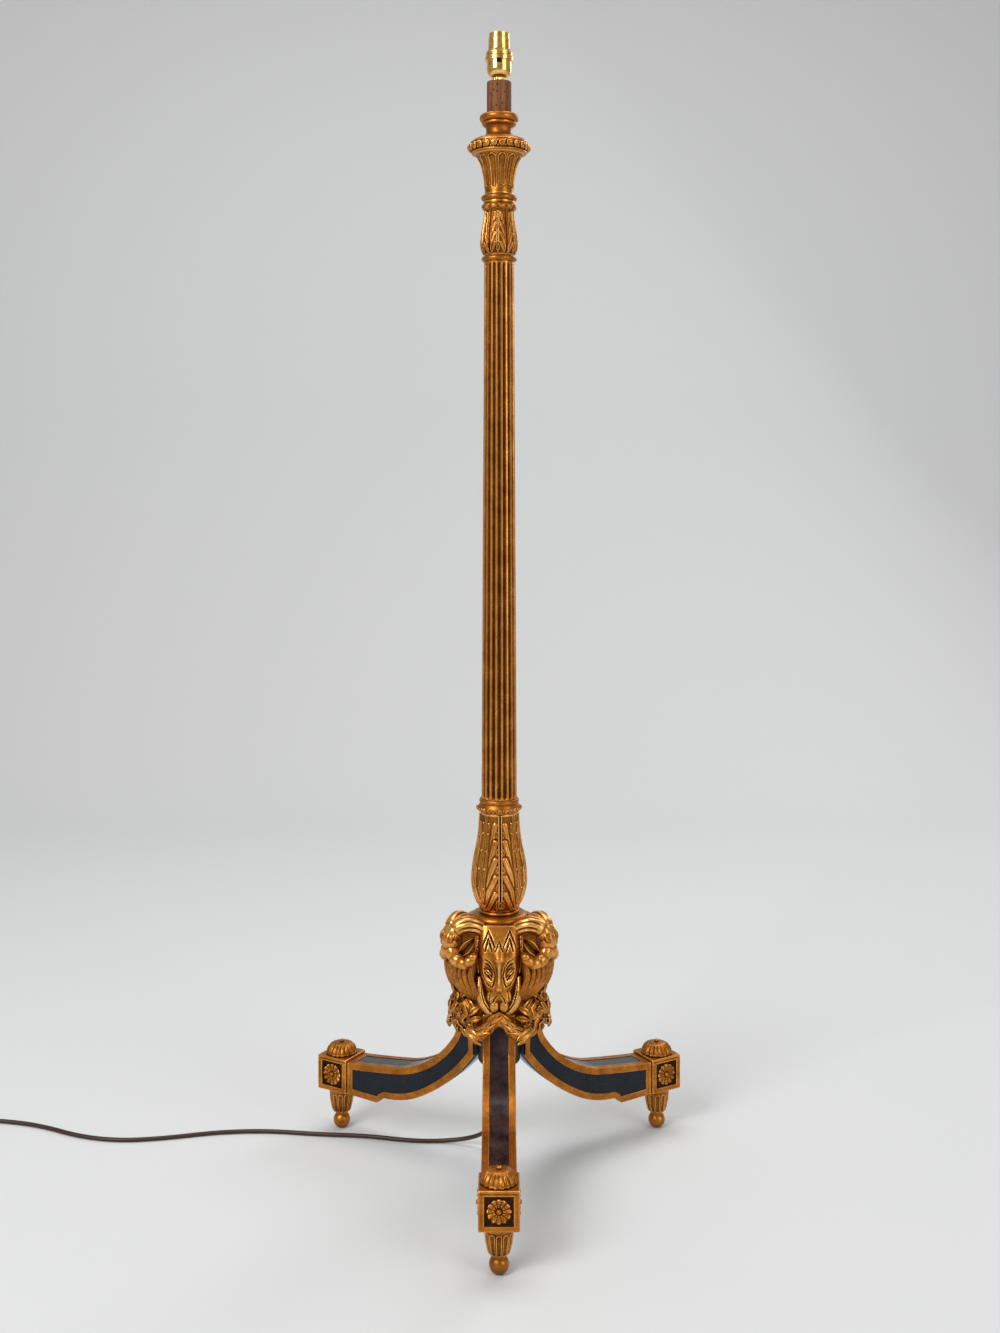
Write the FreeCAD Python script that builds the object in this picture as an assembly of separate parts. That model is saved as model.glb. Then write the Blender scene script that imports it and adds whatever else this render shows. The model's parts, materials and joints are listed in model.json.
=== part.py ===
"""Candlestick floor lamp: a carved and gilt wood standard on three scrolled legs.

Millimetres, +Z up. The origin is the column's axis at the floor. One leg points to -Y,
the other two to 30 and 150 degrees. Each physical piece is a solid of its own, and each
node is written to parts/NODE.step.
"""
import FreeCAD, Part
import math
import os

from FreeCAD import Vector

# ---------------------------------------------------------------- driving dimensions
FIT_GAP = 0.1          # a turned tenon in its socket, all round
RUN_GAP = 0.15         # a sliding piece in its guide, all round
FLEX_R = 3.0           # three-core flex, outside
WAY_R = 5.0            # the way for the flex, drilled through the wood

LEG_AZIMUTHS = {"front": -90.0, "rear_right": 30.0, "rear_left": 150.0}
CORNER_AZIMUTHS = {"left": 210.0, "right": -30.0, "back": 90.0}

# feet, from the floor up
FOOT_REACH = 268.0     # column axis to foot axis
BALL_R = 12.15
BALL_FLAT_DROP = 0.6   # how much of the ball is worn flat on the floor
TOUPIE_BASE_R = 12.4
TOUPIE_TOP_R = 17.6
TOUPIE_FLANGE_R = 19.0
TOUPIE_FLANGE_H = 5.5
TOUPIE_H = 37.3        # ball to block
FOOT_SPIGOT_R = 8.0
FOOT_SPIGOT_H = 15.0
BLOCK_HALF = 25.0
BLOCK_H = 49.0
BLOCK_FRAME = 7.3      # raised frame round the sunk square
BLOCK_SINK = 2.0
ROSETTE_R = 15.5
ROSETTE_PETALS = 12
ROSETTE_T = 3.4
ROSETTE_EYE_R = 3.2
CAP_R = 23.0
CAP_H = 18.6
CAP_BUTTON_R = 4.2
CAP_BUTTON_H = 4.0

# legs
LEG_HALF = 22.0        # half of the leg's thickness
LEG_BORDER = 9.5       # gilt border
PANEL_SINK = 2.0
PANEL_T = 1.2
LEG_TOP_Z = 232.0
DOWEL_R = 5.0
DOWEL_LEN = 30.0

# hub
BOSS_R = 29.0
BOSS_BOTTOM = 149.0
BOSS_ROUND = 6.0
HUB_BOTTOM = 205.0
HUB_STEP = 250.0       # below this the corners draw in for the roses
HUB_TOP = 343.9
HUB_FACE = 36.0        # axis to the flat that carries a head
HUB_CORNER = 61.0      # axis to the flat between two heads
HUB_CORNER_LOW = 50.0
CHIN_Z = 237.0
HORN_AZIMUTH = 45.0    # from the head's own direction
HORN_REACH = 72.0
HORN_Z = 327.0
HORN_HALF_W = 10.0     # centre line of the oval curl
HORN_HALF_H = 22.5
HORN_ROOT_R = 9.6
HORN_TIP_R = 4.2
HORN_STATIONS = 14
EAR_LEN = 24.0
EAR_R = 4.6
EAR_T = 4.0
EAR_OUT = 8.15
EAR_LEAN = 48.0        # the ear's tilt from level
WOOL_R = 15.0
WOOL_REACH = 58.0
WOOL_BOTTOM = 250.0
WOOL_TOP = 300.0
ROSE_R = 15.0
ROSE_REACH = 66.0
ROSE_Z = 233.0
ROSE_SPREAD = 12.0     # degrees to each side of the corner
ROSE_LOW_R = 13.0
ROSE_LOW_Z = 209.0
ROSE_LOW_REACH = 60.0
LEAF_TOP_R = 9.0
LEAF_TOP_Z = 251.0
SWAG_R = 8.5
SWAG_START = (61.0, 8.6, 226.0)
SWAG_SAG = (57.0, 27.0, 204.0)
SWAG_END = (50.0, 46.0, 222.0)

# column stack: the height of each piece, from the hub up
BASE_RING_H = 17.9
BASE_TORUS_H = 12.6
BASE_TORUS_R = 38.9
BASE_BEAD_R = 27.3
BALUSTER_H = 133.0
BALUSTER_FOOT_R = 25.2
BALUSTER_BELLY_R = 37.3
BALUSTER_BELLY_H = 41.0
BALUSTER_NECK_R = 26.2
COLLAR_H = 19.2
COLLAR_BAND_R = 30.8
COLLAR_TOP_R = 27.4
COLUMN_H = 740.5
COLUMN_FOOT_R = 24.2
COLUMN_HEAD_R = 20.4
COLUMN_FLUTES = 18
FLUTE_DEPTH = 2.0
FLUTE_SHARE = 0.74     # of the pitch, the rest is the fillet between two flutes
KNOP_RING_H = 8.9
KNOP_RING_R = 24.5
KNOP_H = 74.9
KNOP_BELLY_R = 25.8
KNOP_WAIST_R = 20.6
KNOP_LIP_R = 23.7
KNOP_NECK_R = 21.4
UPPER_RING_H = 9.5
UPPER_RING_R = 24.9
CUP_H = 56.2
CUP_NECK_R = 19.7
CUP_LIP_R = 34.5
CAPITAL_H = 55.3
CAPITAL_SEAT_R = 38.65
CAPITAL_EGG_R = 43.7
CAPITAL_WAIST_R = 18.0
CAPITAL_TORUS_R = 27.2
SPIGOT_H = 44.8
SPIGOT_R = 17.0
TENON_R = 11.0
TENON_H = 24.0

# lampholder, a two-pin bayonet type with a push-bar switch
NUT_R = 9.5
NUT_H = 4.9
NUT_LOBES = 8
NIPPLE_R = 5.0
NIPPLE_WALL = 1.3
NIPPLE_DEPTH = 22.0
CAP_CONE_R = 10.1
CAP_CONE_H = 11.0
CAP_BODY_R = 17.1
CAP_BODY_H = 12.9
CAP_WALL = 1.2
FLANGE_R = 19.5
FLANGE_H = 5.5
SLEEVE_R = 14.9
RIM_R = 14.1
RIM_H = 8.3
SOCKET_R = 11.3        # bayonet bore
SOCKET_GUIDE = 12.0
SOCKET_RELIEF = 0.4
SOCKET_DEPTH = 20.0
SLOT_W = 2.8
SLOT_DROP = 7.0
SLOT_TURN = 4.2        # sideways run of the slot's foot
RING_R = 18.5
RING_H = 5.5
RING_CONE_H = 4.3
RING_CONE_R = 15.7
RING_LIFT = 14.0       # the shade ring's way up its thread
SLEEVE_H = RUN_GAP + RING_H + RING_CONE_H + RING_LIFT   # flange to the step under the rim
INSULATOR_R = 13.6
PLUNGER_R = 2.2
PLUNGER_OFFSET = 6.5
PLUNGER_TRAVEL = 3.5
PLUNGER_PROUD = PLUNGER_TRAVEL + 2.5
SPRING_FREE = 6.7      # spring length with the plunger at rest
SPRING_WIRE_R = 0.25
SPRING_TURNS = 6
BAR_W = 7.2
BAR_H = 5.3
BAR_PROUD = 1.5        # at the front, pushed in
BAR_TRAVEL = 5.0
BAR_LEN = 2 * (CAP_BODY_R + BAR_PROUD) + BAR_TRAVEL
SCREW_R = 1.5
SCREW_LEN = 4.6

# cord outside the lamp
BUSH_LEN = 22.0
BUSH_TOP_R = 8.5
BUSH_END_R = 4.6
BUSH_SPIGOT = 8.0
COIL_START_R = 41.7
COIL_PITCH = 6.6       # centre to centre of two turns side by side or on each other
COIL_TURNS = 5.25
COIL_LEAD = 46.0       # straight run from the coil to the plug
PLUG_W = 48.0
PLUG_L = 50.0
PLUG_COVER_T = 15.0
PLUG_BASE_T = 9.0
PLUG_CHAMFER = 13.0
PIN_T = 3.95
PIN_W = 6.35
PIN_LEN = 17.7
EARTH_W = 7.9
EARTH_LEN = 22.7
PIN_SPACING = 22.2
FUSE_R = 3.15
FUSE_LEN = 25.4

# ---------------------------------------------------------------- levels worked out
BLOCK_BOTTOM = 2 * BALL_R - BALL_FLAT_DROP + TOUPIE_H
BLOCK_TOP = BLOCK_BOTTOM + BLOCK_H
LEG_END = FOOT_REACH - BLOCK_HALF
LEG_DRAWN_END = 243.0   # the reach the leg's curves were drawn for
BALUSTER_Z = HUB_TOP + BASE_RING_H
COLLAR_Z = BALUSTER_Z + BALUSTER_H
COLUMN_Z = COLLAR_Z + COLLAR_H
KNOP_RING_Z = COLUMN_Z + COLUMN_H
KNOP_Z = KNOP_RING_Z + KNOP_RING_H
UPPER_RING_Z = KNOP_Z + KNOP_H
CUP_Z = UPPER_RING_Z + UPPER_RING_H
CAPITAL_Z = CUP_Z + CUP_H
SPIGOT_Z = CAPITAL_Z + CAPITAL_H
SPIGOT_TOP = SPIGOT_Z + SPIGOT_H
CAP_Z = SPIGOT_TOP + NUT_H
CAP_BODY_Z = CAP_Z + CAP_CONE_H
FLANGE_Z = CAP_BODY_Z + CAP_BODY_H
SLEEVE_Z = FLANGE_Z + FLANGE_H
RIM_Z = SLEEVE_Z + SLEEVE_H
SOCKET_TOP = RIM_Z + RIM_H
INSULATOR_TOP = SOCKET_TOP - SOCKET_DEPTH
CORD_EXIT_Z = BOSS_BOTTOM - BUSH_LEN

# the free cord, point by point, from the lamp's underside to the coil
CORD_ROUTE = [
    (0.0, 0.0, CORD_EXIT_Z),
    (0.0, 0.0, 102.0),
    (-3.0, 12.0, 72.0),
    (-12.0, 38.0, 40.0),
    (-32.0, 68.0, 14.0),
    (-72.0, 80.0, FLEX_R),
    (-124.0, 79.0, FLEX_R),
    (-190.0, 96.0, FLEX_R),
    (-262.0, 101.0, FLEX_R),
    (-338.0, 113.0, FLEX_R),
    (-412.0, 108.0, FLEX_R),
    (-480.0, 89.0, FLEX_R),
    (-545.0, 80.0, FLEX_R),
    (-608.0, 94.0, FLEX_R),
    (-672.0, 129.0, FLEX_R),
    (-738.0, 147.0, FLEX_R),
    (-790.0, 147.0, FLEX_R),
]
COIL_CENTRE = (CORD_ROUTE[-1][0], CORD_ROUTE[-1][1] - COIL_START_R)

AXIS = Vector(0, 0, 1)
ORIGIN = Vector(0, 0, 0)
parts = {}


# ---------------------------------------------------------------- small helpers
def placed(shape, azimuth):
    """A copy turned about the column's axis."""
    turned_copy = shape.copy()
    turned_copy.rotate(ORIGIN, AXIS, azimuth)
    return turned_copy


def polar(radius, azimuth, z):
    angle = math.radians(azimuth)
    return Vector(radius * math.cos(angle), radius * math.sin(angle), z)


def rod(radius, z_low, z_high, x=0.0, y=0.0):
    return Part.makeCylinder(radius, z_high - z_low, Vector(x, y, z_low), AXIS)


def block(x_low, x_high, y_low, y_high, z_low, z_high):
    corner = Vector(x_low, y_low, z_low)
    return Part.makeBox(x_high - x_low, y_high - y_low, z_high - z_low, corner)


def outline_edges(points, to_vector):
    """Edges through points. (a, b) is reached straight, (a, b, mid_a, mid_b) on an arc."""
    edges = []
    last = to_vector(*points[0][:2])
    for point in points[1:]:
        here = to_vector(*point[:2])
        if len(point) == 4:
            edges.append(Part.Arc(last, to_vector(*point[2:]), here).toShape())
        elif last.distanceToPoint(here) > 1e-6:
            edges.append(Part.LineSegment(last, here).toShape())
        last = here
    return edges


def closed_face(points, to_vector):
    closed = points + [points[0][:2]]
    return Part.Face(Part.Wire(outline_edges(closed, to_vector)))


def turned(points, bore=0.0):
    """A piece turned on the lathe: points climb its outside as (radius, height)."""
    inner = [(bore, points[-1][1]), (bore, points[0][1])]
    face = closed_face(points + inner, lambda r, z: Vector(r, 0, z))
    return face.revolve(ORIGIN, AXIS, 360)


def ring_points(foot_r, z_low, wide_r, z_high, top_r):
    """A round moulding between two levels, at most half a circle, and a step to top_r."""
    z_mid = (z_low + z_high) / 2
    edge_r = max(foot_r, wide_r - (z_high - z_low) / 2)
    return [(edge_r, z_low), (edge_r, z_high, wide_r, z_mid), (top_r, z_high)]


def lofted(wires):
    return Part.makeLoft(wires, True, False)


def circle_wire(centre, direction, radius):
    return Part.Wire(Part.Circle(centre, direction, radius).toShape())


def tube_along(path, radius):
    """A round tube of one radius along a wire of lines and arcs."""
    first = path.OrderedEdges[0]
    start = first.valueAt(first.FirstParameter)
    direction = first.tangentAt(first.FirstParameter)
    section = circle_wire(start, direction, radius)
    return path.makePipeShell([section], True, False)


# ---------------------------------------------------------------- feet
def make_feet():
    ball_centre = BALL_R - BALL_FLAT_DROP
    neck_z = ball_centre + BALL_R
    neck_r = 0.72 * TOUPIE_BASE_R
    flange_z = BLOCK_BOTTOM - TOUPIE_FLANGE_H
    ball = Part.makeSphere(BALL_R, Vector(0, 0, ball_centre))
    ball = ball.common(rod(2 * BALL_R, 0, 2 * BALL_R))
    body = turned([
        (neck_r, ball_centre + 0.7 * BALL_R),
        (neck_r, neck_z),
        (TOUPIE_BASE_R, neck_z + 3.5, TOUPIE_BASE_R - 0.6, neck_z + 1.2),
        (TOUPIE_TOP_R, flange_z, TOUPIE_TOP_R - 1.4, flange_z - 0.45 * TOUPIE_H),
        (TOUPIE_FLANGE_R, flange_z + 1.0),
        (TOUPIE_FLANGE_R, BLOCK_BOTTOM),
        (FOOT_SPIGOT_R, BLOCK_BOTTOM),
        (FOOT_SPIGOT_R, BLOCK_BOTTOM + FOOT_SPIGOT_H),
    ])
    foot = body.fuse(ball).removeSplitter()
    foot.translate(Vector(FOOT_REACH, 0, 0))

    sunk_half = BLOCK_HALF - BLOCK_FRAME
    sunk_mid = BLOCK_BOTTOM + BLOCK_H / 2
    cube = block(LEG_END, FOOT_REACH + BLOCK_HALF, -BLOCK_HALF, BLOCK_HALF, BLOCK_BOTTOM, BLOCK_TOP)
    end_recess = block(FOOT_REACH + BLOCK_HALF - BLOCK_SINK, FOOT_REACH + BLOCK_HALF,
                       -sunk_half, sunk_half, sunk_mid - sunk_half, sunk_mid + sunk_half)
    side_recess = end_recess.copy()
    side_recess.rotate(Vector(FOOT_REACH, 0, 0), AXIS, 90)
    other_recess = end_recess.copy()
    other_recess.rotate(Vector(FOOT_REACH, 0, 0), AXIS, -90)
    socket = rod(FOOT_SPIGOT_R + FIT_GAP, BLOCK_BOTTOM, BLOCK_BOTTOM + FOOT_SPIGOT_H + 1, FOOT_REACH)
    cube = cube.cut([end_recess, side_recess, other_recess, socket])

    rosette = make_rosette()
    rosette.translate(Vector(FOOT_REACH + BLOCK_HALF - BLOCK_SINK, 0, sunk_mid))
    rosettes = []
    for turn in (0, 90, -90):
        rosette_here = rosette.copy()
        rosette_here.rotate(Vector(FOOT_REACH, 0, 0), AXIS, turn)
        rosettes.append(rosette_here)

    dome = turned([
        (CAP_R, BLOCK_TOP),
        (CAP_R, BLOCK_TOP + 3.0),
        (CAP_BUTTON_R, BLOCK_TOP + CAP_H, 0.72 * CAP_R, BLOCK_TOP + 0.76 * CAP_H),
        (CAP_BUTTON_R, BLOCK_TOP + CAP_H + 1.4),
        (1.2, BLOCK_TOP + CAP_H + CAP_BUTTON_H, 0.8 * CAP_BUTTON_R, BLOCK_TOP + CAP_H + 2.8),
    ])
    dome.translate(Vector(FOOT_REACH, 0, 0))

    parts["turned_feet"] = [placed(foot, a) for a in LEG_AZIMUTHS.values()]
    parts["foot_caps"] = [placed(dome, a) for a in LEG_AZIMUTHS.values()]
    parts["foot_rosettes"] = [placed(r, a) for a in LEG_AZIMUTHS.values() for r in rosettes]
    return cube


def make_rosette():
    """A flat flower facing +X: a disc with a scalloped edge and a round eye."""
    notch_r = 0.88 * ROSETTE_R
    step = 2 * math.pi / ROSETTE_PETALS

    def rim(radius, count):
        return Vector(0, radius * math.cos(count * step), radius * math.sin(count * step))

    petals = [Part.Arc(rim(notch_r, i), rim(ROSETTE_R, i + 0.5), rim(notch_r, i + 1)).toShape()
              for i in range(ROSETTE_PETALS)]
    disc = Part.Face(Part.Wire(petals)).extrude(Vector(ROSETTE_T, 0, 0))
    eye = Part.makeSphere(ROSETTE_EYE_R, Vector(ROSETTE_T, 0, 0))
    return disc.fuse(eye).removeSplitter()


# ---------------------------------------------------------------- legs
def leg_outline():
    """The leg's side, as (reach, height): over the top to the hub and back underneath.

    The curves are drawn for a leg that ends at LEG_DRAWN_END and stretch to where it does end.
    """
    def out(reach):
        return BOSS_R + (reach - BOSS_R) * (LEG_END - BOSS_R) / (LEG_DRAWN_END - BOSS_R)

    return [
        (LEG_END, BLOCK_BOTTOM - 0.2),
        (LEG_END, BLOCK_TOP - 3.5),
        (out(150.0), 117.0, out(190.0), 111.8),
        (out(60.1), 180.6, out(97.0), 141.0),
        (out(47.5), LEG_TOP_Z, out(52.0), 205.0),
        (10.0, LEG_TOP_Z),
        (23.3, 165.5, 14.6, 194.0),
        (out(117.6), 82.5, out(63.5), 119.5),
        (out(176.7), 68.2, out(146.0), 72.0),
        (out(190.6), 59.2, out(184.5), 64.6),
    ]


def side_prism(points, half):
    face = closed_face(points, lambda x, z: Vector(x, -half, z))
    return face.extrude(Vector(0, 2 * half, 0))


def make_legs(foot_block):
    core = side_prism(leg_outline(), LEG_HALF)
    side_face = closed_face(leg_outline(), lambda x, z: Vector(x, 0, z))
    field = side_face.makeOffset2D(-LEG_BORDER, 2)
    skin_face = side_face.cut(side_face.makeOffset2D(-PANEL_SINK, 2))
    panel_face = side_face.makeOffset2D(-(PANEL_SINK - PANEL_T), 2)
    panel_face = panel_face.cut(side_face.makeOffset2D(-PANEL_SINK, 2))
    above = closed_face([
        (LEG_END - LEG_BORDER, 90.0), (150.0, 95.0), (100.0, 118.0), (62.0, 150.0),
        (40.0, 190.0), (34.0, LEG_TOP_Z - 4), (90.0, LEG_TOP_Z - 4), (LEG_END - LEG_BORDER, 160.0),
    ], lambda x, z: Vector(x, 0, z))
    top_half = LEG_HALF - LEG_BORDER

    def slab(face, y_low, y_high):
        moved = face.copy()
        moved.translate(Vector(0, y_low, 0))
        return moved.extrude(Vector(0, y_high - y_low, 0))

    top_pocket = slab(skin_face.common(above), -top_half, top_half)
    top_panel = slab(panel_face.common(above), -top_half, top_half)
    pockets = [top_pocket, slab(field, LEG_HALF - PANEL_SINK, LEG_HALF),
               slab(field, -LEG_HALF, PANEL_SINK - LEG_HALF)]
    floor_of_pocket = LEG_HALF - PANEL_SINK
    panels = [top_panel, slab(field, floor_of_pocket, floor_of_pocket + PANEL_T),
              slab(field, -floor_of_pocket - PANEL_T, -floor_of_pocket)]

    boss_way = rod(BOSS_R, BOSS_BOTTOM, HUB_BOTTOM)
    hub_way = rod(BOSS_R, HUB_BOTTOM, LEG_TOP_Z + 1)
    dowels = make_dowels()
    core = core.cut(pockets + [boss_way, hub_way] + dowels)
    panels = [p.cut(boss_way.fuse(hub_way)) for p in panels]
    foot_block = foot_block.cut(dowels)
    for name, azimuth in LEG_AZIMUTHS.items():
        parts["leg_" + name] = [placed(core, azimuth)]
        parts["leg_panels_" + name] = [placed(p, azimuth) for p in panels]
        parts["foot_block_" + name] = [placed(foot_block, azimuth)]
    parts["frame_dowels"] = [placed(d, a) for a in LEG_AZIMUTHS.values() for d in dowels]


def make_dowels():
    """Level dowels: two from the boss and the hub into the leg, one from the leg into the block."""
    low_z = (BOSS_BOTTOM + HUB_BOTTOM) / 2 + 4
    high_z = (HUB_BOTTOM + LEG_TOP_Z) / 2
    block_z = BLOCK_BOTTOM + BLOCK_H / 2
    outward = Vector(1, 0, 0)
    hub_x = BOSS_R - DOWEL_LEN / 2
    return [Part.makeCylinder(DOWEL_R, DOWEL_LEN, Vector(hub_x, 0, low_z), outward),
            Part.makeCylinder(DOWEL_R, DOWEL_LEN, Vector(hub_x, 0, high_z), outward),
            Part.makeCylinder(DOWEL_R, DOWEL_LEN, Vector(LEG_END - DOWEL_LEN / 2, 0, block_z), outward)]


# ---------------------------------------------------------------- hub and its carving
def hub_prism(corner_reach, z_low, z_high):
    """Six-sided: three flats for the heads and three between them."""
    half = (corner_reach - HUB_FACE * math.cos(math.pi / 3)) / math.sin(math.pi / 3)
    corner = Vector(HUB_FACE, half, z_low)
    other = Vector(HUB_FACE, -half, z_low)
    ring = []
    for azimuth in (0, 120, 240):
        turn = FreeCAD.Rotation(AXIS, azimuth)
        ring += [turn.multVec(other), turn.multVec(corner)]
    face = Part.Face(Part.makePolygon(ring + [ring[0]]))
    return placed(face.extrude(Vector(0, 0, z_high - z_low)), LEG_AZIMUTHS["front"])


def make_hub():
    boss = turned([
        (BOSS_R - BOSS_ROUND, BOSS_BOTTOM),
        (BOSS_R, BOSS_BOTTOM + BOSS_ROUND, BOSS_R - 0.3 * BOSS_ROUND, BOSS_BOTTOM + 0.3 * BOSS_ROUND),
        (BOSS_R, HUB_BOTTOM),
    ], WAY_R)
    hub = hub_prism(HUB_CORNER_LOW, HUB_BOTTOM, HUB_STEP).fuse(hub_prism(HUB_CORNER, HUB_STEP, HUB_TOP))
    hub = hub.removeSplitter()
    dowels = parts["frame_dowels"]
    leg_way = side_prism([(BOSS_R * 0.5, HUB_BOTTOM), (HUB_FACE * 2, HUB_BOTTOM),
                          (HUB_FACE * 2, LEG_TOP_Z), (BOSS_R * 0.5, LEG_TOP_Z)], LEG_HALF)
    leg_way = leg_way.cut(rod(BOSS_R, HUB_BOTTOM, LEG_TOP_Z))
    hub = hub.cut([placed(leg_way, a) for a in LEG_AZIMUTHS.values()])
    tenon_way = rod(TENON_R + FIT_GAP, HUB_TOP - TENON_H, HUB_TOP)
    hub = hub.cut([rod(WAY_R, HUB_BOTTOM, HUB_TOP), tenon_way] + dowels)
    boss = boss.cut(dowels)
    boss = boss.cut(rod(WAY_R + FIT_GAP, BOSS_BOTTOM, BOSS_BOTTOM + BUSH_SPIGOT))
    parts["hub_boss"] = [boss]
    parts["hub_block"] = [hub]
    return hub


def head_section(z, half_width, shoulder, front):
    """A level cut through the head: flat at the hub, round in front."""
    points = [(HUB_FACE, -half_width), (shoulder, -half_width),
              (shoulder, half_width, front, 0.0), (HUB_FACE, half_width)]
    edges = outline_edges(points + [points[0][:2]], lambda x, y: Vector(x, y, z))
    return Part.Wire(edges)


def make_head():
    return lofted([
        head_section(CHIN_Z, 11.0, 50.0, 60.0),
        head_section(CHIN_Z + 8, 16.0, 51.0, 66.5),
        head_section(CHIN_Z + 25, 19.5, 50.0, 68.0),
        head_section(CHIN_Z + 44, 23.5, 48.0, 65.5),
        head_section(CHIN_Z + 62, 26.5, 47.0, 64.0),
        head_section(CHIN_Z + 80, 27.0, 45.0, 61.0),
        head_section(CHIN_Z + 96, 26.0, 42.0, 52.0),
        head_section(HUB_TOP, 25.0, 39.0, 44.5),
    ])


def horn_station(share):
    """Centre and radius of the horn at a share of its length, on the head's left side."""
    angle = math.radians(150.0 - 345.0 * share)
    draw_in = 1.0 - 0.22 * share
    across = HORN_HALF_W * draw_in * math.cos(angle)
    up = HORN_HALF_H * draw_in * math.sin(angle)
    outward = 2.5 * share
    radius = HORN_ROOT_R + (HORN_TIP_R - HORN_ROOT_R) * share ** 1.4
    turn = math.radians(HORN_AZIMUTH)
    reach = HORN_REACH + outward
    x = reach * math.cos(turn) - across * math.sin(turn)
    y = reach * math.sin(turn) + across * math.cos(turn)
    return Vector(x, y, HORN_Z + up), radius


def make_horn():
    step = 1e-3
    wires = []
    for i in range(HORN_STATIONS):
        share = i / (HORN_STATIONS - 1)
        centre, radius = horn_station(share)
        ahead = horn_station(share + step)[0]
        behind = horn_station(share - step)[0]
        wires.append(circle_wire(centre, ahead - behind, radius))
    return lofted(wires)


def make_ear():
    """A pointed leaf lying in the curl, its tip up towards the face."""
    half = EAR_LEN / 2
    outline = [(0.0, -half), (0.0, half, EAR_R, 0.0), (0.0, -half, -EAR_R, 0.0)]
    edges = outline_edges(outline, lambda y, z: Vector(0, y, z))
    leaf = Part.Face(Part.Wire(edges)).extrude(Vector(EAR_T, 0, 0))
    leaf.rotate(ORIGIN, Vector(1, 0, 0), EAR_LEAN)
    leaf.translate(Vector(HORN_REACH + EAR_OUT, 0, HORN_Z - 3))
    return placed(leaf, HORN_AZIMUTH - 3)


def make_wool():
    """The neck's wool under the horn, a tapering fold."""
    height = WOOL_TOP - WOOL_BOTTOM
    fold = turned([
        (0.55 * WOOL_R, WOOL_BOTTOM),
        (WOOL_R, WOOL_TOP - 0.2 * height, 0.93 * WOOL_R, WOOL_BOTTOM + 0.45 * height),
        (0.8 * WOOL_R, WOOL_TOP),
    ])
    fold.translate(polar(WOOL_REACH, HORN_AZIMUTH, 0))
    return fold


def make_roses():
    """Three roses and a leaf bud in one cluster, at azimuth 0."""
    pieces = [Part.makeSphere(ROSE_R, polar(ROSE_REACH, ROSE_SPREAD, ROSE_Z)),
              Part.makeSphere(ROSE_R, polar(ROSE_REACH, -ROSE_SPREAD, ROSE_Z)),
              Part.makeSphere(ROSE_LOW_R, polar(ROSE_LOW_REACH, 0, ROSE_LOW_Z)),
              Part.makeSphere(LEAF_TOP_R, polar(ROSE_REACH, 0, LEAF_TOP_Z))]
    return pieces[0].multiFuse(pieces[1:]).removeSplitter()


def make_swag():
    """One garland from the chin to the roses, on the head's left side."""
    arc = Part.Arc(Vector(*SWAG_START), Vector(*SWAG_SAG), Vector(*SWAG_END)).toShape()
    return tube_along(Part.Wire([arc]), SWAG_R)


def mirrored(shape):
    return shape.mirror(ORIGIN, Vector(0, 1, 0))


def make_carving(hub):
    sector_half = math.radians(60)
    far = 200.0
    sector = Part.Face(Part.makePolygon([
        ORIGIN, Vector(far, -far * math.tan(sector_half), 0), Vector(far, far * math.tan(sector_half), 0), ORIGIN,
    ])).extrude(Vector(0, 0, 600))
    front_hub = placed(hub, -LEG_AZIMUTHS["front"])
    torus_way = rod(BASE_TORUS_R + FIT_GAP, HUB_TOP, HUB_TOP + BASE_TORUS_H)
    head = make_head()
    ear = make_ear()
    horn = make_horn().common(sector).cut([front_hub, head, torus_way])
    roses = make_roses().cut(placed(front_hub, 180))
    rose_left = placed(roses, 60)
    wool = make_wool().common(sector).cut([front_hub, head, horn, rose_left])
    leg = parts["leg_front"][0].copy()
    leg = placed(leg, -LEG_AZIMUTHS["front"])
    swag = make_swag().common(sector).cut([front_hub, head, leg, rose_left, wool])
    half_space = block(0, far, 0, far, 0, 600)
    swag = swag.common(half_space)

    for name, azimuth in LEG_AZIMUTHS.items():
        parts["ram_head_" + name] = [placed(head, azimuth)]
        parts["ram_horns_" + name] = [placed(s, azimuth) for s in (horn, mirrored(horn))]
        parts["swag_" + name] = [placed(s, azimuth) for s in (swag, mirrored(swag))]
    for name, azimuth in CORNER_AZIMUTHS.items():
        parts["roses_" + name] = [placed(roses, azimuth)]
    sides = [ear, mirrored(ear)]
    parts["ram_ears"] = [placed(s, a) for a in LEG_AZIMUTHS.values() for s in sides]
    folds = [wool, mirrored(wool)]
    parts["neck_wool"] = [placed(s, a) for a in LEG_AZIMUTHS.values() for s in folds]


# ---------------------------------------------------------------- column
def with_tenon(piece, z_low, z_high):
    """The piece with a turned tenon that stands out of it, and the way for the flex."""
    stub = rod(TENON_R, z_low, z_high)
    return piece.fuse(stub).removeSplitter().cut(rod(WAY_R, z_low - 1, z_high + 1))


def with_socket(piece, z_low, z_high):
    return piece.cut(rod(TENON_R + FIT_GAP, z_low, z_high))


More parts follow.
